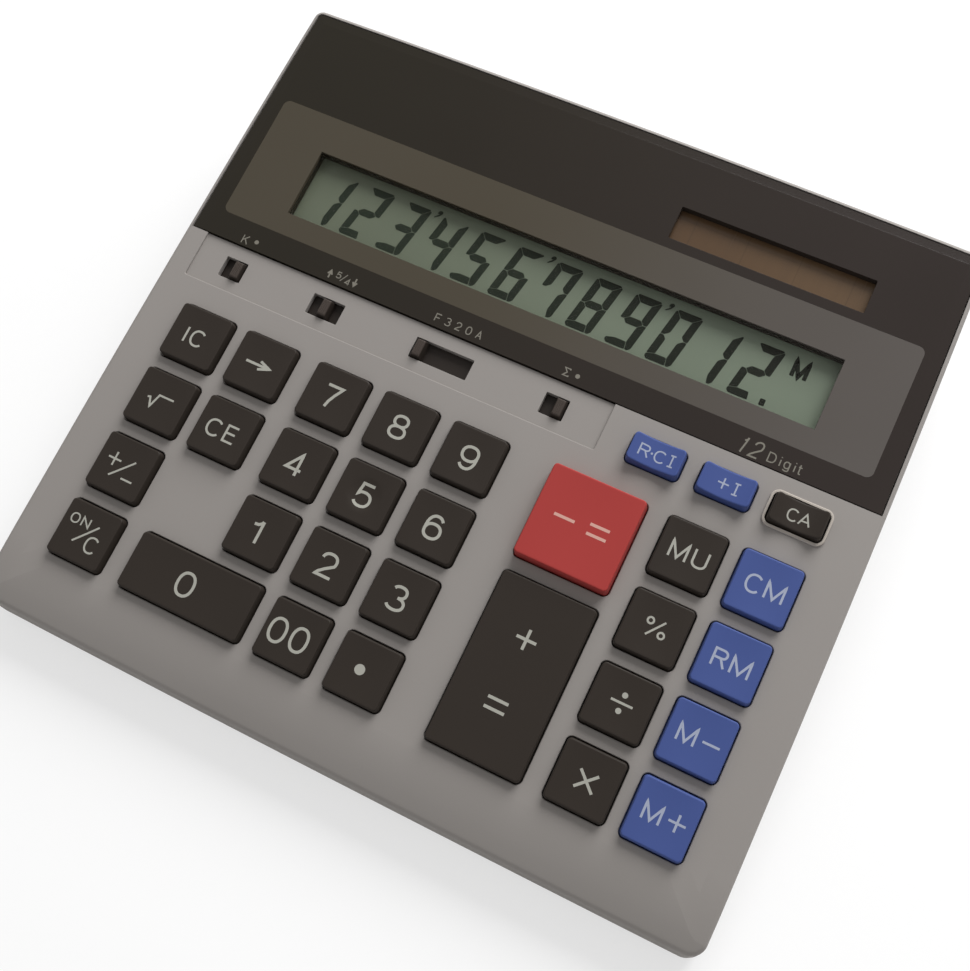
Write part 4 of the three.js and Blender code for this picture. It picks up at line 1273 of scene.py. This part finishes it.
# %% Display strip
LENS_FIT = 0.02
LENS_EDGE = 0.02
WINDOW_SOFT = (-0.08, 0.12)
WINDOW_CLEAR = 0.97
STRIP_REFLECTION_SPAN = (-30, 95)
grow = Vector((GAP - LENS_FIT, GAP - LENS_FIT, 0))
strip_low, strip_high = lens_low - grow, lens_high + grow
middle = (strip_low + strip_high) / 2
size = strip_high - strip_low


def strip_ring(inset, z):
    """The strip's outline at one height, drawn in by an inset."""
    width, depth = size.x - 2 * inset, size.y - 2 * inset
    return raised(rounded(middle.x, middle.y, width, depth, LENS_CORNER + GAP - inset, side_steps=2), z)


strip_edges = [(0, lens_low.z), (0, -LENS_EDGE), (LENS_EDGE, 0)]
strip = loft("display_strip", [strip_ring(inset, z) for inset, z in strip_edges])


def strip_gloss():
    """A printed band with a clear window in it, and a painted reflection that makes the band paler to the right.
    """
    made = Finish("strip_gloss", Specular_IOR_Level=0.12)
    x = made.axis("X") / MM
    half = (WINDOW_HIGH - WINDOW_LOW) / 2
    centre = (WINDOW_HIGH + WINDOW_LOW) / 2
    inside_x = half.x - abs(x - centre.x)
    inside_y = half.y - abs(made.deck_axis("Y") - centre.y)
    window = made.ramp(inside_x, *WINDOW_SOFT) * made.ramp(inside_y, *WINDOW_SOFT)
    slow = made.noise(45)
    left = light(72, 66, 55), light(77, 71, 60)
    right = light(87, 82, 78), light(94, 89, 86)
    # The band turns paler to the right: a painted reflection of brighter surroundings on that side.
    made.feed("Base Color", made.two_tone(slow, made.ramp(x, *STRIP_REFLECTION_SPAN), left, right))
    made.feed("Alpha", 1 - window * WINDOW_CLEAR)
    made.feed("Roughness", slow * 0.06 + 0.12)
    return made.grain(slow, 0.02)


finish(strip, "case", strip_gloss(), ["display_lens"])

# %% [markdown]
# The display shows twelve seven-part figures, a point, three high commas and a small memory
# sign. Each part of a figure is a thin bar with mitred ends and rounded corners. Four bars are
# drawn. The other three are the side bar mirrored, and the lower two are cut to meet the base.

# %% The bars of a figure
FIGURE_WIDTH = 7.2
FIGURE_HEIGHT = 15.2
BAR = 2.05
SPLIT = 0.06
CORNER_CUT = 0.6
SEAM = 0.7
BASE_CUT = 0.75
BAR_ROUND = 0.3
ROUND_SHARES = (0, 0.33, 0.67, 1)
LARGEST_ROUND_SHARE = 1 / 2.2


def softened(outline):
    """An outline whose corners are rounded, as printed bars are."""
    soft = []
    for i, here in enumerate(outline):
        here = Vector(here)
        before, after = Vector(outline[i - 1]) - here, Vector(outline[(i + 1) % len(outline)]) - here
        start = here + before.normalized() * min(BAR_ROUND, before.length * LARGEST_ROUND_SHARE)
        end = here + after.normalized() * min(BAR_ROUND, after.length * LARGEST_ROUND_SHARE)
        for share in ROUND_SHARES:
            soft.append(start.lerp(here, share).lerp(here.lerp(end, share), share))
    return soft


def bars():
    """The seven bars of a figure: a at the top, then round clockwise, g in the middle.

    w and h are the figure's width and height, t a bar's thickness, s half the split between two
    bars, c the cut of a corner and m the middle line. Inner places end in an i.
    """
    w, h, t, s, c = FIGURE_WIDTH, FIGURE_HEIGHT, BAR, SPLIT, CORNER_CUT
    m, wi, hi, low = h / 2, w - t, h - t, 2 * BASE_CUT
    top = [(c + s, h), (w - c - s, h), (w - c / 2 - s, h - c / 2)]
    top += [(wi - s, hi), (t + s, hi), (c / 2 + s, h - c / 2)]
    side = [(w - c / 2, h - c / 2 - s), (w, h - c - s), (w, m + s)]
    side += [(w - t / 2, m + s), (wi, m + t / 2 + s), (wi, hi - s)]
    middle = [(t / 2 + s, m), (t + s, m + t / 2), (wi - s, m + t / 2)]
    middle += [(w - t / 2 - s, m), (wi - s, m - t / 2), (t + s, m - t / 2)]
    base = [(BASE_CUT, 0), (wi + SEAM - s, 0), (wi - s, t), (t + s, t), (0, low - s), (0, BASE_CUT)]

    def flip(shape):
        """The shape upside down."""
        return [(x, h - y) for x, y in shape]

    def turn(shape):
        """The shape with its left and right changed over."""
        return [(w - x, y) for x, y in shape]

    right = [(wi + SEAM + s, 0), (w - c, 0)] + flip(side)[1:]
    left = [(0, low + s)] + turn(flip(side))[2:]
    shapes = {"a": top, "b": side, "c": right, "d": base, "e": left, "f": turn(side), "g": middle}
    return {part: softened(shape) for part, shape in shapes.items()}


shapes = bars()
print("bars", {part: len(shape) for part, shape in shapes.items()})

# %% [markdown]
# A table says which bars each figure lights, and a loop sets the figures side by side. Liquid
# crystal has almost no thickness, so the bars are wafers on the glass, and the whole row leans.

# %% Display figures
FIGURE_LEFT = -70.5
FIGURE_FRONT = 123.55
FIGURE_PITCH = 10.88
LEAN = math.tan(math.radians(10.5))
GLASS_TOP = span(deck_points("lcd_glass"))[1].z
WAFER = 0.03
COMMA_BACK = 1.62
COMMA_RISE = 0.2
COMMA_RADIUS = 0.66
COMMA_TAIL = [(0.02, -0.35), (-0.95, -1.6), (-0.7, -1.75), (0.2, -1.0)]
POINT_WIDTH = 1.4
POINT_HEIGHT = 1.8
POINT_GAP = 1.5
MEMORY_PLACE = Vector((63.9, 135.8))
MEMORY_MARK = ("M", 0, 0, 4.3, 5.5, 1.05)
LIT = {
    "0": "abcdef", "1": "bc", "2": "abged", "3": "abgcd", "4": "fgbc",
    "5": "afgcd", "6": "afgedc", "7": "fabc", "8": "abcdefg", "9": "abcdfg",
}
READING = "123456789012"
DISPLAY_SPAN = (-0.075, 0.075)
COMMA_AFTER = (2, 5, 8)


def wafer(outline):
    """Points and faces of a thin plate on the glass, leaning with the figures."""
    count = len(outline)
    places = []
    for z in (GLASS_TOP + WAFER / 3, GLASS_TOP + WAFER):
        places += [Vector((x + (y - FIGURE_FRONT) * LEAN, y, z)) for x, y in outline]
    faces = [tuple(range(count)), tuple(count + i for i in range(count))]
    faces += [(i, (i + 1) % count, count + (i + 1) % count, count + i) for i in range(count)]
    return places, faces


def figure_plates():
    """The outlines of all the lit bars, the commas and the upright point."""
    plates = []
    for k, figure in enumerate(READING):
        left = FIGURE_LEFT + k * FIGURE_PITCH
        for part in LIT[figure]:
            plates.append([(left + x, FIGURE_FRONT + y) for x, y in shapes[part]])
    angles = [math.radians(20 * i) for i in range(-2, 12)]
    comma = [(COMMA_RADIUS * math.cos(a), COMMA_RADIUS * math.sin(a)) for a in angles] + COMMA_TAIL
    for k in COMMA_AFTER:
        left = FIGURE_LEFT + (k + 1) * FIGURE_PITCH - COMMA_BACK
        front = FIGURE_FRONT + FIGURE_HEIGHT + COMMA_RISE
        plates.append([(left + x, front + y) for x, y in comma])
    left = FIGURE_LEFT + (len(READING) - 1) * FIGURE_PITCH + FIGURE_WIDTH + POINT_GAP
    point = [(0, 0), (POINT_WIDTH, 0), (POINT_WIDTH, POINT_HEIGHT), (0, POINT_HEIGHT)]
    plates.append(softened([(left + x - y * LEAN, FIGURE_FRONT + y) for x, y in point]))
    return plates


def on_glass(x, y):
    """The height of the display's glass, the same everywhere."""
    return GLASS_TOP


figures = gathered("display_figures", [wafer(plate) for plate in figure_plates()])
memory_sign = draw("memory_sign", [MEMORY_MARK], MEMORY_PLACE, on_glass)
memory_sign.data.transform(Matrix.Translation((0, 0, WAFER / 3)))
figures = join("display_figures", [figures, memory_sign])


def crystal():
    """Dark green liquid crystal, a little uneven."""
    made = Finish("liquid_crystal", Roughness=0.45, Specular_IOR_Level=0.1)
    across = made.ramp(made.axis("X"), *DISPLAY_SPAN)
    left = light(32, 40, 32), light(40, 48, 38)
    right = light(15, 20, 13), light(22, 27, 18)
    made.feed("Base Color", made.two_tone(made.noise(6), across, left, right))
    return made.material


finish(figures, "case", crystal())

# %% [markdown]
# The labels over the switches are printed on the panel, and so are thinner and flatter than the
# keys' legends. Each sign's place is counted from the deck's middle line and from the labels'
# own line. The rest of the panel is bare, with the same gloss all over.

# %% Panel print
LABEL_Y = 111.2
ITALIC = 0.22
SMALL = 0.28
WORD = 0.3
BOLD = 0.42
POSITION_LEFT = -23.0
POSITION_PITCH = 2.9
label_marks = [
    ("K", -79.2, -0.6, 1.9, 2.6, SMALL), ("dot", -76.1, -0.15, 1.2, 1.2, WORD),
    ("up", -54.1, -0.35, 1.6, 2.5, BOLD), ("5", -51.7, 0.3, 1.45, 1.9, SMALL),
    ("/", -50.2, 0.1, 1.5, 2.5, 0.24),
    ("4", -48.8, -0.55, 1.45, 1.9, SMALL), ("down", -46.9, 0.1, 1.6, 2.5, BOLD),
    ("sum", 12.7, 0, 1.8, 2.3, SMALL), ("dot", 15.6, 0, 1.2, 1.2, WORD),
    ("D", 66.2, 0.05, 2.1, 2.65, WORD), ("i", 68.35, 0.05, WORD, 2.65, WORD),
    ("g", 70.05, -0.6, 1.6, 2.6, WORD), ("i", 71.95, 0.05, WORD, 2.65, WORD),
    ("t", 73.2, 0, 1.15, 2.6, WORD),
]
for i, sign in enumerate("F320A"):
    label_marks.append((sign, POSITION_LEFT + POSITION_PITCH * i, 0, 1.6, 2.3, SMALL))
italic_marks = [("1", 58.5, 0.4, 1.6, 4.5, BOLD), ("2", 61.8, 0.4, 2.6, 4.5, BOLD)]


def on_panel(x, y):
    """The height of the panel's face, the same everywhere."""
    return 0.0


upright_labels = draw("upright_labels", label_marks, Vector((0, LABEL_Y)), on_panel)
italic_labels = draw("italic_labels", italic_marks, Vector((0, LABEL_Y)), on_panel, ITALIC)
labels = join("panel_labels", [upright_labels, italic_labels])
print_ink = moulded("label_ink", light(118, 114, 104), 0.05, 0.5, 0.3, 0.002)
finish(labels, "case", print_ink)

# %% [markdown]
# Ribs on the switches' knobs and on the battery cover are rows of one small shape, and so are
# the feet and the screws. That is a job for Geometry Nodes: a shape copied to points, the copies
# made real, and the material set. Both trees end in the same way, so one class builds that part,
# names the inputs, and turns a tree's result into a plain mesh.

# %% Trees that repeat a shape
class Repeat(Graph):
    """A geometry tree with named inputs, which puts one shape at many points."""

    def __init__(self, name, kinds):
        super().__init__(bpy.data.node_groups.new(name, "GeometryNodeTree"))
        face = self.tree.interface
        self.keys = {}
        for label, kind in kinds.items():
            socket = face.new_socket(name=label, in_out="INPUT", socket_type="NodeSocket" + kind)
            self.keys[label] = socket.identifier
        face.new_socket(name="Geometry", in_out="OUTPUT", socket_type="NodeSocketGeometry")
        self.given = self.tree.nodes.new("NodeGroupInput")

    def take(self, label):
        """One of the tree's named inputs."""
        return Value(self, self.given.outputs[label])

    def copy_to(self, points, shape, **turned_by):
        """Puts the shape at the points, makes the copies real and sets their material."""
        inputs = {"Points": points, "Instance": shape, **turned_by}
        copies = self.node("GeometryNodeInstanceOnPoints", inputs=inputs)
        real = self.node("GeometryNodeRealizeInstances", inputs={"Geometry": copies})
        inputs = {"Geometry": real, "Material": self.take("Finish")}
        painted = self.node("GeometryNodeSetMaterial", inputs=inputs)
        self.last("NodeGroupOutput", "Geometry", painted)

    def run(self, name, mesh, **values):
        """The tree's result as a plain mesh object, in the frame that its places are in."""
        made = placed(name, mesh)
        modifier = made.modifiers.new(name, "NODES")
        modifier.node_group = self.tree
        for label, value in values.items():
            modifier[self.keys[label]] = value
        return plain_mesh(made)


# %% [markdown]
# A rib is a thin rod. A line of points gives its places, and the tree's inputs are its sizes, so
# one tree serves every row.

# %% A row of ribs
RIB_SIDES = 16


def rib_tree():
    """The tree of a row of rods."""
    tree = Repeat("row_of_ribs", {
        "Count": "Int", "Start": "Vector", "Step": "Vector", "Radius": "Float", "Length": "Float",
        "Turn": "Vector", "Finish": "Material",
    })
    inputs = {"Count": tree.take("Count"), "Start Location": tree.take("Start"), "Offset": tree.take("Step")}
    line = tree.node("GeometryNodeMeshLine", {"mode": "OFFSET"}, inputs)
    inputs = {"Vertices": RIB_SIDES, "Radius": tree.take("Radius"), "Depth": tree.take("Length")}
    rod = tree.node("GeometryNodeMeshCylinder", {"fill_type": "NGON"}, inputs)
    tree.copy_to(line, rod, Rotation=tree.take("Turn"))
    return tree


RIBS = rib_tree()


def ribs(name, **values):
    """A row of ribs as a plain mesh object."""
    return RIBS.run(name, bpy.data.meshes.new(name), **values)


# %% [markdown]
# A switch is a small knob on a wide plate. The plate slides under the case, and only the crest
# shows, with four fine ribs along it for the fingertip. The crest's sides lean in, and its edges
# are round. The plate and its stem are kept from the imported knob, up to where the new crest
# takes over.

# %% Slide switches
KNOB_WIDTH = 2.98
KNOB_SLACK = 0.02
KNOB_CORNER = 0.28
PLATE_TOP = -2.5
PLATE_REACH = Vector((HALF_WIDTH, SLOT_DEPTH, 0))
CREST_BOTTOM = -2.9
CREST_WIDTH = 2.2
CREST_ROUND = 0.3
CREST_LEAN = 0.6
RIB_RADIUS = 0.17
RIB_PROUD = 0.12
RIB_PITCH = 0.5
RIB_COUNT = 4
RIB_SHORT = 1.3


def make_switch(name):
    """A knob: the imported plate, a fresh crest and its ribs."""
    x = sum(knob_crest(name)) / 2
    depth = SLOT_DEPTH - 2 * GAP - KNOB_SLACK
    piece_name = name.replace("knob_", "switch_")
    foot = copy_of(name, piece_name)
    below_from = Vector((x, knob_y, -30)) - PLATE_REACH
    below_to = Vector((x, knob_y, PLATE_TOP)) + PLATE_REACH
    carve(foot, "INTERSECT", rounded_block("below", below_from, below_to, 1))

    def ring(width, length, z):
        return raised(rounded(x, knob_y, width, length, KNOB_CORNER, side_steps=3), z)

    crest = [ring(KNOB_WIDTH, depth, CREST_BOTTOM), ring(KNOB_WIDTH, depth, -BAR_DROP)]
    for inward, below in quarter_round(4):
        inset = CREST_ROUND * inward
        z = KNOB_TOP - RIB_PROUD - CREST_ROUND * below
        crest.append(ring(CREST_WIDTH - 2 * inset, depth - CREST_LEAN - 2 * inset, z))
    carve(foot, "UNION", loft("crest", crest))
    first = x - RIB_PITCH * (RIB_COUNT - 1) / 2
    row = ribs(
        "row", Count=RIB_COUNT, Start=(first, knob_y, KNOB_TOP - RIB_RADIUS), Step=(RIB_PITCH, 0, 0),
        Radius=RIB_RADIUS, Length=depth - RIB_SHORT, Turn=(math.pi / 2, 0, 0), Finish=knob_finish,
    )
    return finish(join(piece_name, [foot, row]), name, knob_finish, [name])


for name in knob_names:
    make_switch(name)

# %% [markdown]
# Underneath, the calculator stands on four rubber feet and is held together by six screws. Each
# kind is modelled once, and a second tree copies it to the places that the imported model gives.

# %% Copies at places
def copies_tree():
    """The tree that copies an object to the points of a mesh."""
    tree = Repeat("copies_at_places", {"Places": "Geometry", "Pattern": "Object", "Finish": "Material"})
    pattern = tree.node("GeometryNodeObjectInfo", inputs={"Object": tree.take("Pattern")}, output="Geometry")
    tree.copy_to(tree.take("Places"), pattern)
    return tree


COPIES = copies_tree()


def copies(name, nodes, pattern, material, slot):
    """The pattern, copied to the middle of each node's underside."""
    spots = []
    for node in nodes:
        low, high = table_box(node)
        spots.append(((low.x + high.x) / 2, (low.y + high.y) / 2, low.z))
    mesh = bpy.data.meshes.new(name)
    mesh.from_pydata(spots, [], [])
    made = COPIES.run(name, mesh, Pattern=pattern, Finish=material)
    bpy.data.objects.remove(pattern)
    return finish(made, "case", material, nodes, TABLE)


# %% [markdown]
# A foot is a disc of black rubber with a shallow hollow under it and a round edge, so its
# section is turned about its axis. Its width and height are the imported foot's.

# %% Feet
HOLLOW_RADIUS = 2.6
HOLLOW_DEPTH = 0.25
HOLLOW_MIDDLE = 0.4
HOLLOW_SLOPE = 0.4
FOOT_ROUND = 0.6
foot_low, foot_high = table_box("foot_front_left")
foot_radius = (foot_high.x - foot_low.x) / 2
foot_profile = [(HOLLOW_MIDDLE, HOLLOW_DEPTH), (HOLLOW_RADIUS, HOLLOW_DEPTH)]
foot_profile += [(HOLLOW_RADIUS + HOLLOW_SLOPE, 0), (foot_radius - FOOT_ROUND, 0)]
for rise, inward in quarter_round(4)[1:]:
    foot_profile.append((foot_radius - FOOT_ROUND * inward, FOOT_ROUND * rise))
foot_profile.append((foot_radius, foot_high.z - foot_low.z))
foot_pattern = turned("foot_pattern", foot_profile)
rubber = moulded("foot_rubber", light(44, 44, 45), 0.12, 0.85, 0.5, 0.02, 0.2)
foot_nodes = [f"foot_{end}_{side}" for end in ("front", "rear") for side in ("left", "right")]
copies("case_feet", foot_nodes, foot_pattern, rubber, "foot_rubber")

# %% [markdown]
# A screw has a low domed head with a cross recess, and a plain shank in its hole. The cross is
# two blocks cut from the head. Plated steel shows fine lines, which are noise drawn out one way.

# %% Screws
HEAD_TALL = 1.6
HEAD_ROUND = ((0.7, 0.0), (0.28, 0.12), (0.05, 0.4), (0, 0.75))
SHANK = 1.2
SHANK_POINT = 1.0
SHANK_TIP = 0.35
CROSS_LENGTH = 2.7
CROSS_WIDTH = 0.62
CROSS_DEPTH = 0.85
CROSS_ROUND = 0.12
SCRATCH_STRETCH = (1, 14, 1)
screw_low, screw_high = table_box("case_screw_1")
HEAD = (screw_high.x - screw_low.x) / 2
screw_tall = screw_high.z - screw_low.z
screw_profile = [(0.5, 0.0)] + [(HEAD - inset, depth) for inset, depth in HEAD_ROUND]
screw_profile += [(HEAD, HEAD_TALL), (SHANK, HEAD_TALL)]
screw_profile += [(SHANK, screw_tall - SHANK_POINT), (SHANK_TIP, screw_tall)]
screw_pattern = turned("screw_pattern", screw_profile, sides=32)
for width, depth in ((CROSS_LENGTH, CROSS_WIDTH), (CROSS_WIDTH, CROSS_LENGTH)):
    half = Vector((width / 2, depth / 2, CROSS_DEPTH))
    arm = rounded_block("arm", Vector((-half.x, -half.y, -OVERRUN)), half, CROSS_ROUND)
    carve(screw_pattern, "DIFFERENCE", arm)


def metal(name, colour, roughness, scratch):
    """Plated metal with a fine directional grain."""
    made = Finish(name, Metallic=1.0)
    slow = made.noise(3, 3.0)
    lines = made.noise(0.5, 2.0, SCRATCH_STRETCH)
    made.feed("Base Color", made.mixed(slow, toned(colour, 0.8), colour))
    made.feed("Roughness", lines * 0.2 + slow * 0.1 + roughness)
    return made.grain(lines, scratch)


screw_nodes = [f"case_screw_{i}" for i in range(1, 7)]
zinc = metal("zinc", light(150, 150, 150), 0.25, 0.004)
copies("case_screws", screw_nodes, screw_pattern, zinc, "screw_steel")

# %% [markdown]
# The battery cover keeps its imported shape, which fits its slot. Along its outer end it gets five
# ribs for the thumb that pushes it out.

# %% Battery cover
THUMB_INSET = 3
THUMB_PITCH = 1.6
THUMB_RIBS = 5
THUMB_RADIUS = 0.35
THUMB_LENGTH = 12.0
cover = copy_of("battery_cover", "bay_cover")
cover.data.transform(TABLE.inverted() @ DECK)
first = ((cover_low.x + cover_high.x) / 2, cover_high.y - THUMB_INSET, cover_low.z)
row = ribs(
    "row", Count=THUMB_RIBS, Start=first, Step=(0, -THUMB_PITCH, 0),
    Radius=THUMB_RADIUS, Length=THUMB_LENGTH, Turn=(0, math.pi / 2, 0), Finish=case_finish,
)
cover = join("bay_cover", [cover, row])
finish(cover, "battery_cover", case_finish, ["battery_cover"], TABLE)

# %% [markdown]
# The pieces under the case and behind the windows keep their imported shapes, and get their
# finishes here. The display's glass is a dull grey-green, with painted shade that makes it darker
# towards the left and paler towards the right. The solar cell is streaky brown silicon, in
# quarters that each have a faint dark line up the middle.

# %% Finishes of the inner pieces
def display_glass():
    """Grey-green glass, with painted shade that makes it darker towards the left and paler to the right."""
    made = Finish("display_glass", Roughness=0.3, Specular_IOR_Level=0.15)
    across = made.ramp(made.axis("X"), *DISPLAY_SPAN)
    left = light(101, 108, 92), light(108, 115, 98)
    right = light(117, 128, 112), light(124, 135, 118)
    # Darker to the left and paler to the right: painted shade, not a tone of the glass.
    made.feed("Base Color", made.two_tone(made.noise(25), across, left, right))
    return made.grain(made.noise(0.25, 1.0), 0.003)


CELLS = 4
DIVIDER_DARKNESS = 0.25


def silicon():
    """Brown silicon with streaks up the slope and a faint line through each cell's middle."""
    made = Finish("silicon_cell", Specular_IOR_Level=0.2)
    streaks = made.noise(2.2, 3.0, (1, 0.05, 0.05))
    x = made.axis("X") / MM
    cell = (solar_high.x - solar_low.x) / CELLS
    phase = made.maths("FRACT", (x - solar_low.x) / cell)
    divider = 1 - made.ramp(abs(phase - 0.5), 0, 0.02)
    across = made.ramp(x, solar_low.x, solar_high.x)
    base = made.mixed(across, light(92, 70, 49), light(106, 84, 61))
    shaded = made.mixed(streaks * 0.5 + made.noise(20) * 0.2, base, light(78, 60, 44))
    made.feed("Base Color", made.mixed(divider * DIVIDER_DARKNESS, shaded, light(56, 44, 34)))
    made.feed("Roughness", streaks * 0.1 + 0.2)
    return made.grain(streaks, 0.004)


TRACE_PITCH = 1.2
TRACE_WANDER = 6
TRACE_LENGTH = 4
TRACE_EDGE = (0.75, 0.85)
ROW_EDGE = (0.4, 0.6)


def circuit_board():
    """Green board with wandering paler traces, broken into rows."""
    made = Finish("circuit_board", Specular_IOR_Level=0.4)
    wander = made.axis("X") / MM + made.noise(14) * TRACE_WANDER
    lanes = made.ramp(made.maths("PINGPONG", wander, TRACE_PITCH), *TRACE_EDGE)
    rows = made.ramp(made.maths("PINGPONG", made.axis("Y") / MM, TRACE_LENGTH), *ROW_EDGE)
    trace = lanes * rows
    made.feed("Base Color", made.mixed(trace, light(34, 74, 46), light(58, 104, 66)))
    made.feed("Roughness", 0.45 - trace * 0.15)
    return made.grain(trace, 0.03)


BRASS = light(181, 154, 90)
inner_finishes = {
    "lcd_glass": display_glass(),
    "solar_cell": silicon(),
    "main_board": circuit_board(),
    "lcd_holder": moulded("white_frame", light(208, 206, 200), 0.03, 0.5, 0.4, 0.01),
    "lcd_connector": moulded("contact_rubber", light(40, 40, 40), 0.2, 0.8, 0.3, 0.02),
    "key_mat": moulded("mat_rubber", light(176, 176, 170), 0.05, 0.7, 0.6, 0.015),
    "coin_cell": metal("cell_steel", light(190, 190, 186), 0.22, 0.003),
    "battery_contact_plus": metal("contact_plus_brass", BRASS, 0.3, 0.003),
    "battery_contact_minus": metal("contact_minus_brass", BRASS, 0.3, 0.003),
}
for node, material in inner_finishes.items():
    paint(frame["nodes"][node].data, material)
print("inner finishes", len(inner_finishes))

# %% [markdown]
# The camera stands where the photograph was taken from: nearly overhead, in front and to the
# right of the middle, and turned so that the calculator lies across the picture. Its place and
# the point it looks at are given on the deck, in millimetres.

# %% Camera
CAMERA_PLACE = Vector((66.32, 19.08, 283.82))
CAMERA_AIM = Vector((6.964, 76.857, 0))
CAMERA_ROLL = math.radians(-26.415)
FOCAL_PIXELS = 1226.66
PICTURE_HEIGHT = 971
SENSOR = 36.0

look = (CAMERA_AIM - CAMERA_PLACE).normalized()
ahead = Vector((0, 1, 0))
ahead = (ahead - look * look.dot(ahead)).normalized()
across = look.cross(ahead)
up = ahead * math.cos(CAMERA_ROLL) + across * math.sin(CAMERA_ROLL)
right = look.cross(up)
turn = Matrix((right, up, -look)).transposed().to_4x4()
camera_data = bpy.data.cameras.new("camera")
camera_data.sensor_width = SENSOR
camera_data.sensor_height = SENSOR
camera_data.sensor_fit = "VERTICAL"
camera_data.lens = SENSOR * FOCAL_PIXELS / PICTURE_HEIGHT
camera_data.clip_start = 0.01
camera = placed("camera", camera_data)
camera.matrix_world = Matrix.Translation(DECK @ CAMERA_PLACE) @ Matrix.Rotation(SLOPE, 4, "X") @ turn
bpy.context.scene.camera = camera
print("camera", [round(v, 4) for v in camera.location])

# %% [markdown]
# The light is a pale room with one large soft lamp behind and above the calculator, so the walls
# of the display window and the front of each key fall into shade, and the deck's front darkens as
# it rolls away. The lamp stands clear of the place that the glossy panel mirrors to the camera.
# The levels are plain: a grey card on the deck renders about as it is written. The background is
# white to the camera and to reflections, so a polished face never mirrors a grey room.

# %% Light and background
LAMP_PLACE = Vector((0.15, 0.95, 0.7))
LAMP_AIM = Vector((0, 0, 0.02))
LAMP_SIZE = 0.8
LAMP_POWER = 17.5
ROOM_LEVEL = 0.43
lamp_data = bpy.data.lights.new("soft_lamp", "AREA")
lamp_data.size = LAMP_SIZE
lamp_data.energy = LAMP_POWER
lamp = placed("soft_lamp", lamp_data)
facing = (LAMP_PLACE - LAMP_AIM).to_track_quat("Z", "Y").to_matrix().to_4x4()
lamp.matrix_world = Matrix.Translation(LAMP_PLACE) @ facing

world = bpy.data.worlds.new("room")
bpy.context.scene.world = world
world.use_nodes = True
room = Graph(world.node_tree)
world.node_tree.nodes.clear()
rays = [room.ray(kind) for kind in ("Camera", "Glossy", "Transmission")]
seen = room.node("ShaderNodeClamp", inputs={"Value": rays[0] + rays[1] + rays[2]})
strength = seen * (1 - ROOM_LEVEL) + ROOM_LEVEL
sky = room.node("ShaderNodeBackground", inputs={"Color": WHITE, "Strength": strength})
room.last("ShaderNodeOutputWorld", "Surface", sky)
print("lamp", lamp_data.energy, "watts, room", ROOM_LEVEL)

# %% [markdown]
# The floor is white paper, and a share of it glows to the camera alone, which thins the shadow
# without changing the light on the object. It is stage, not part of the object.

# %% Floor
FLOOR_HALF = 3.0
SHADOW_VEIL = 0.6
corners = [(-1, -1), (1, -1), (1, 1), (-1, 1)]
floor_mesh = bpy.data.meshes.new("floor")
floor_mesh.from_pydata([(x * FLOOR_HALF, y * FLOOR_HALF, 0) for x, y in corners], [], [(0, 1, 2, 3)])
floor = placed("floor", floor_mesh)
paper = Finish("paper", Roughness=0.9, Specular_IOR_Level=0.0)
paper.feed("Base Color", paper.mixed(paper.noise(3, 3.0), light(253, 253, 253), WHITE))
veil = paper.node("ShaderNodeEmission", inputs={"Color": WHITE, "Strength": 1.0})
inputs = {0: paper.ray("Camera") * SHADOW_VEIL, 1: paper.lit, 2: veil}
thinned = paper.node("ShaderNodeMixShader", inputs=inputs)
paper.tree.links.new(thinned.socket, paper.end.inputs["Surface"])
paint(floor_mesh, paper.material)

bpy.context.scene.view_settings.view_transform = "Standard"
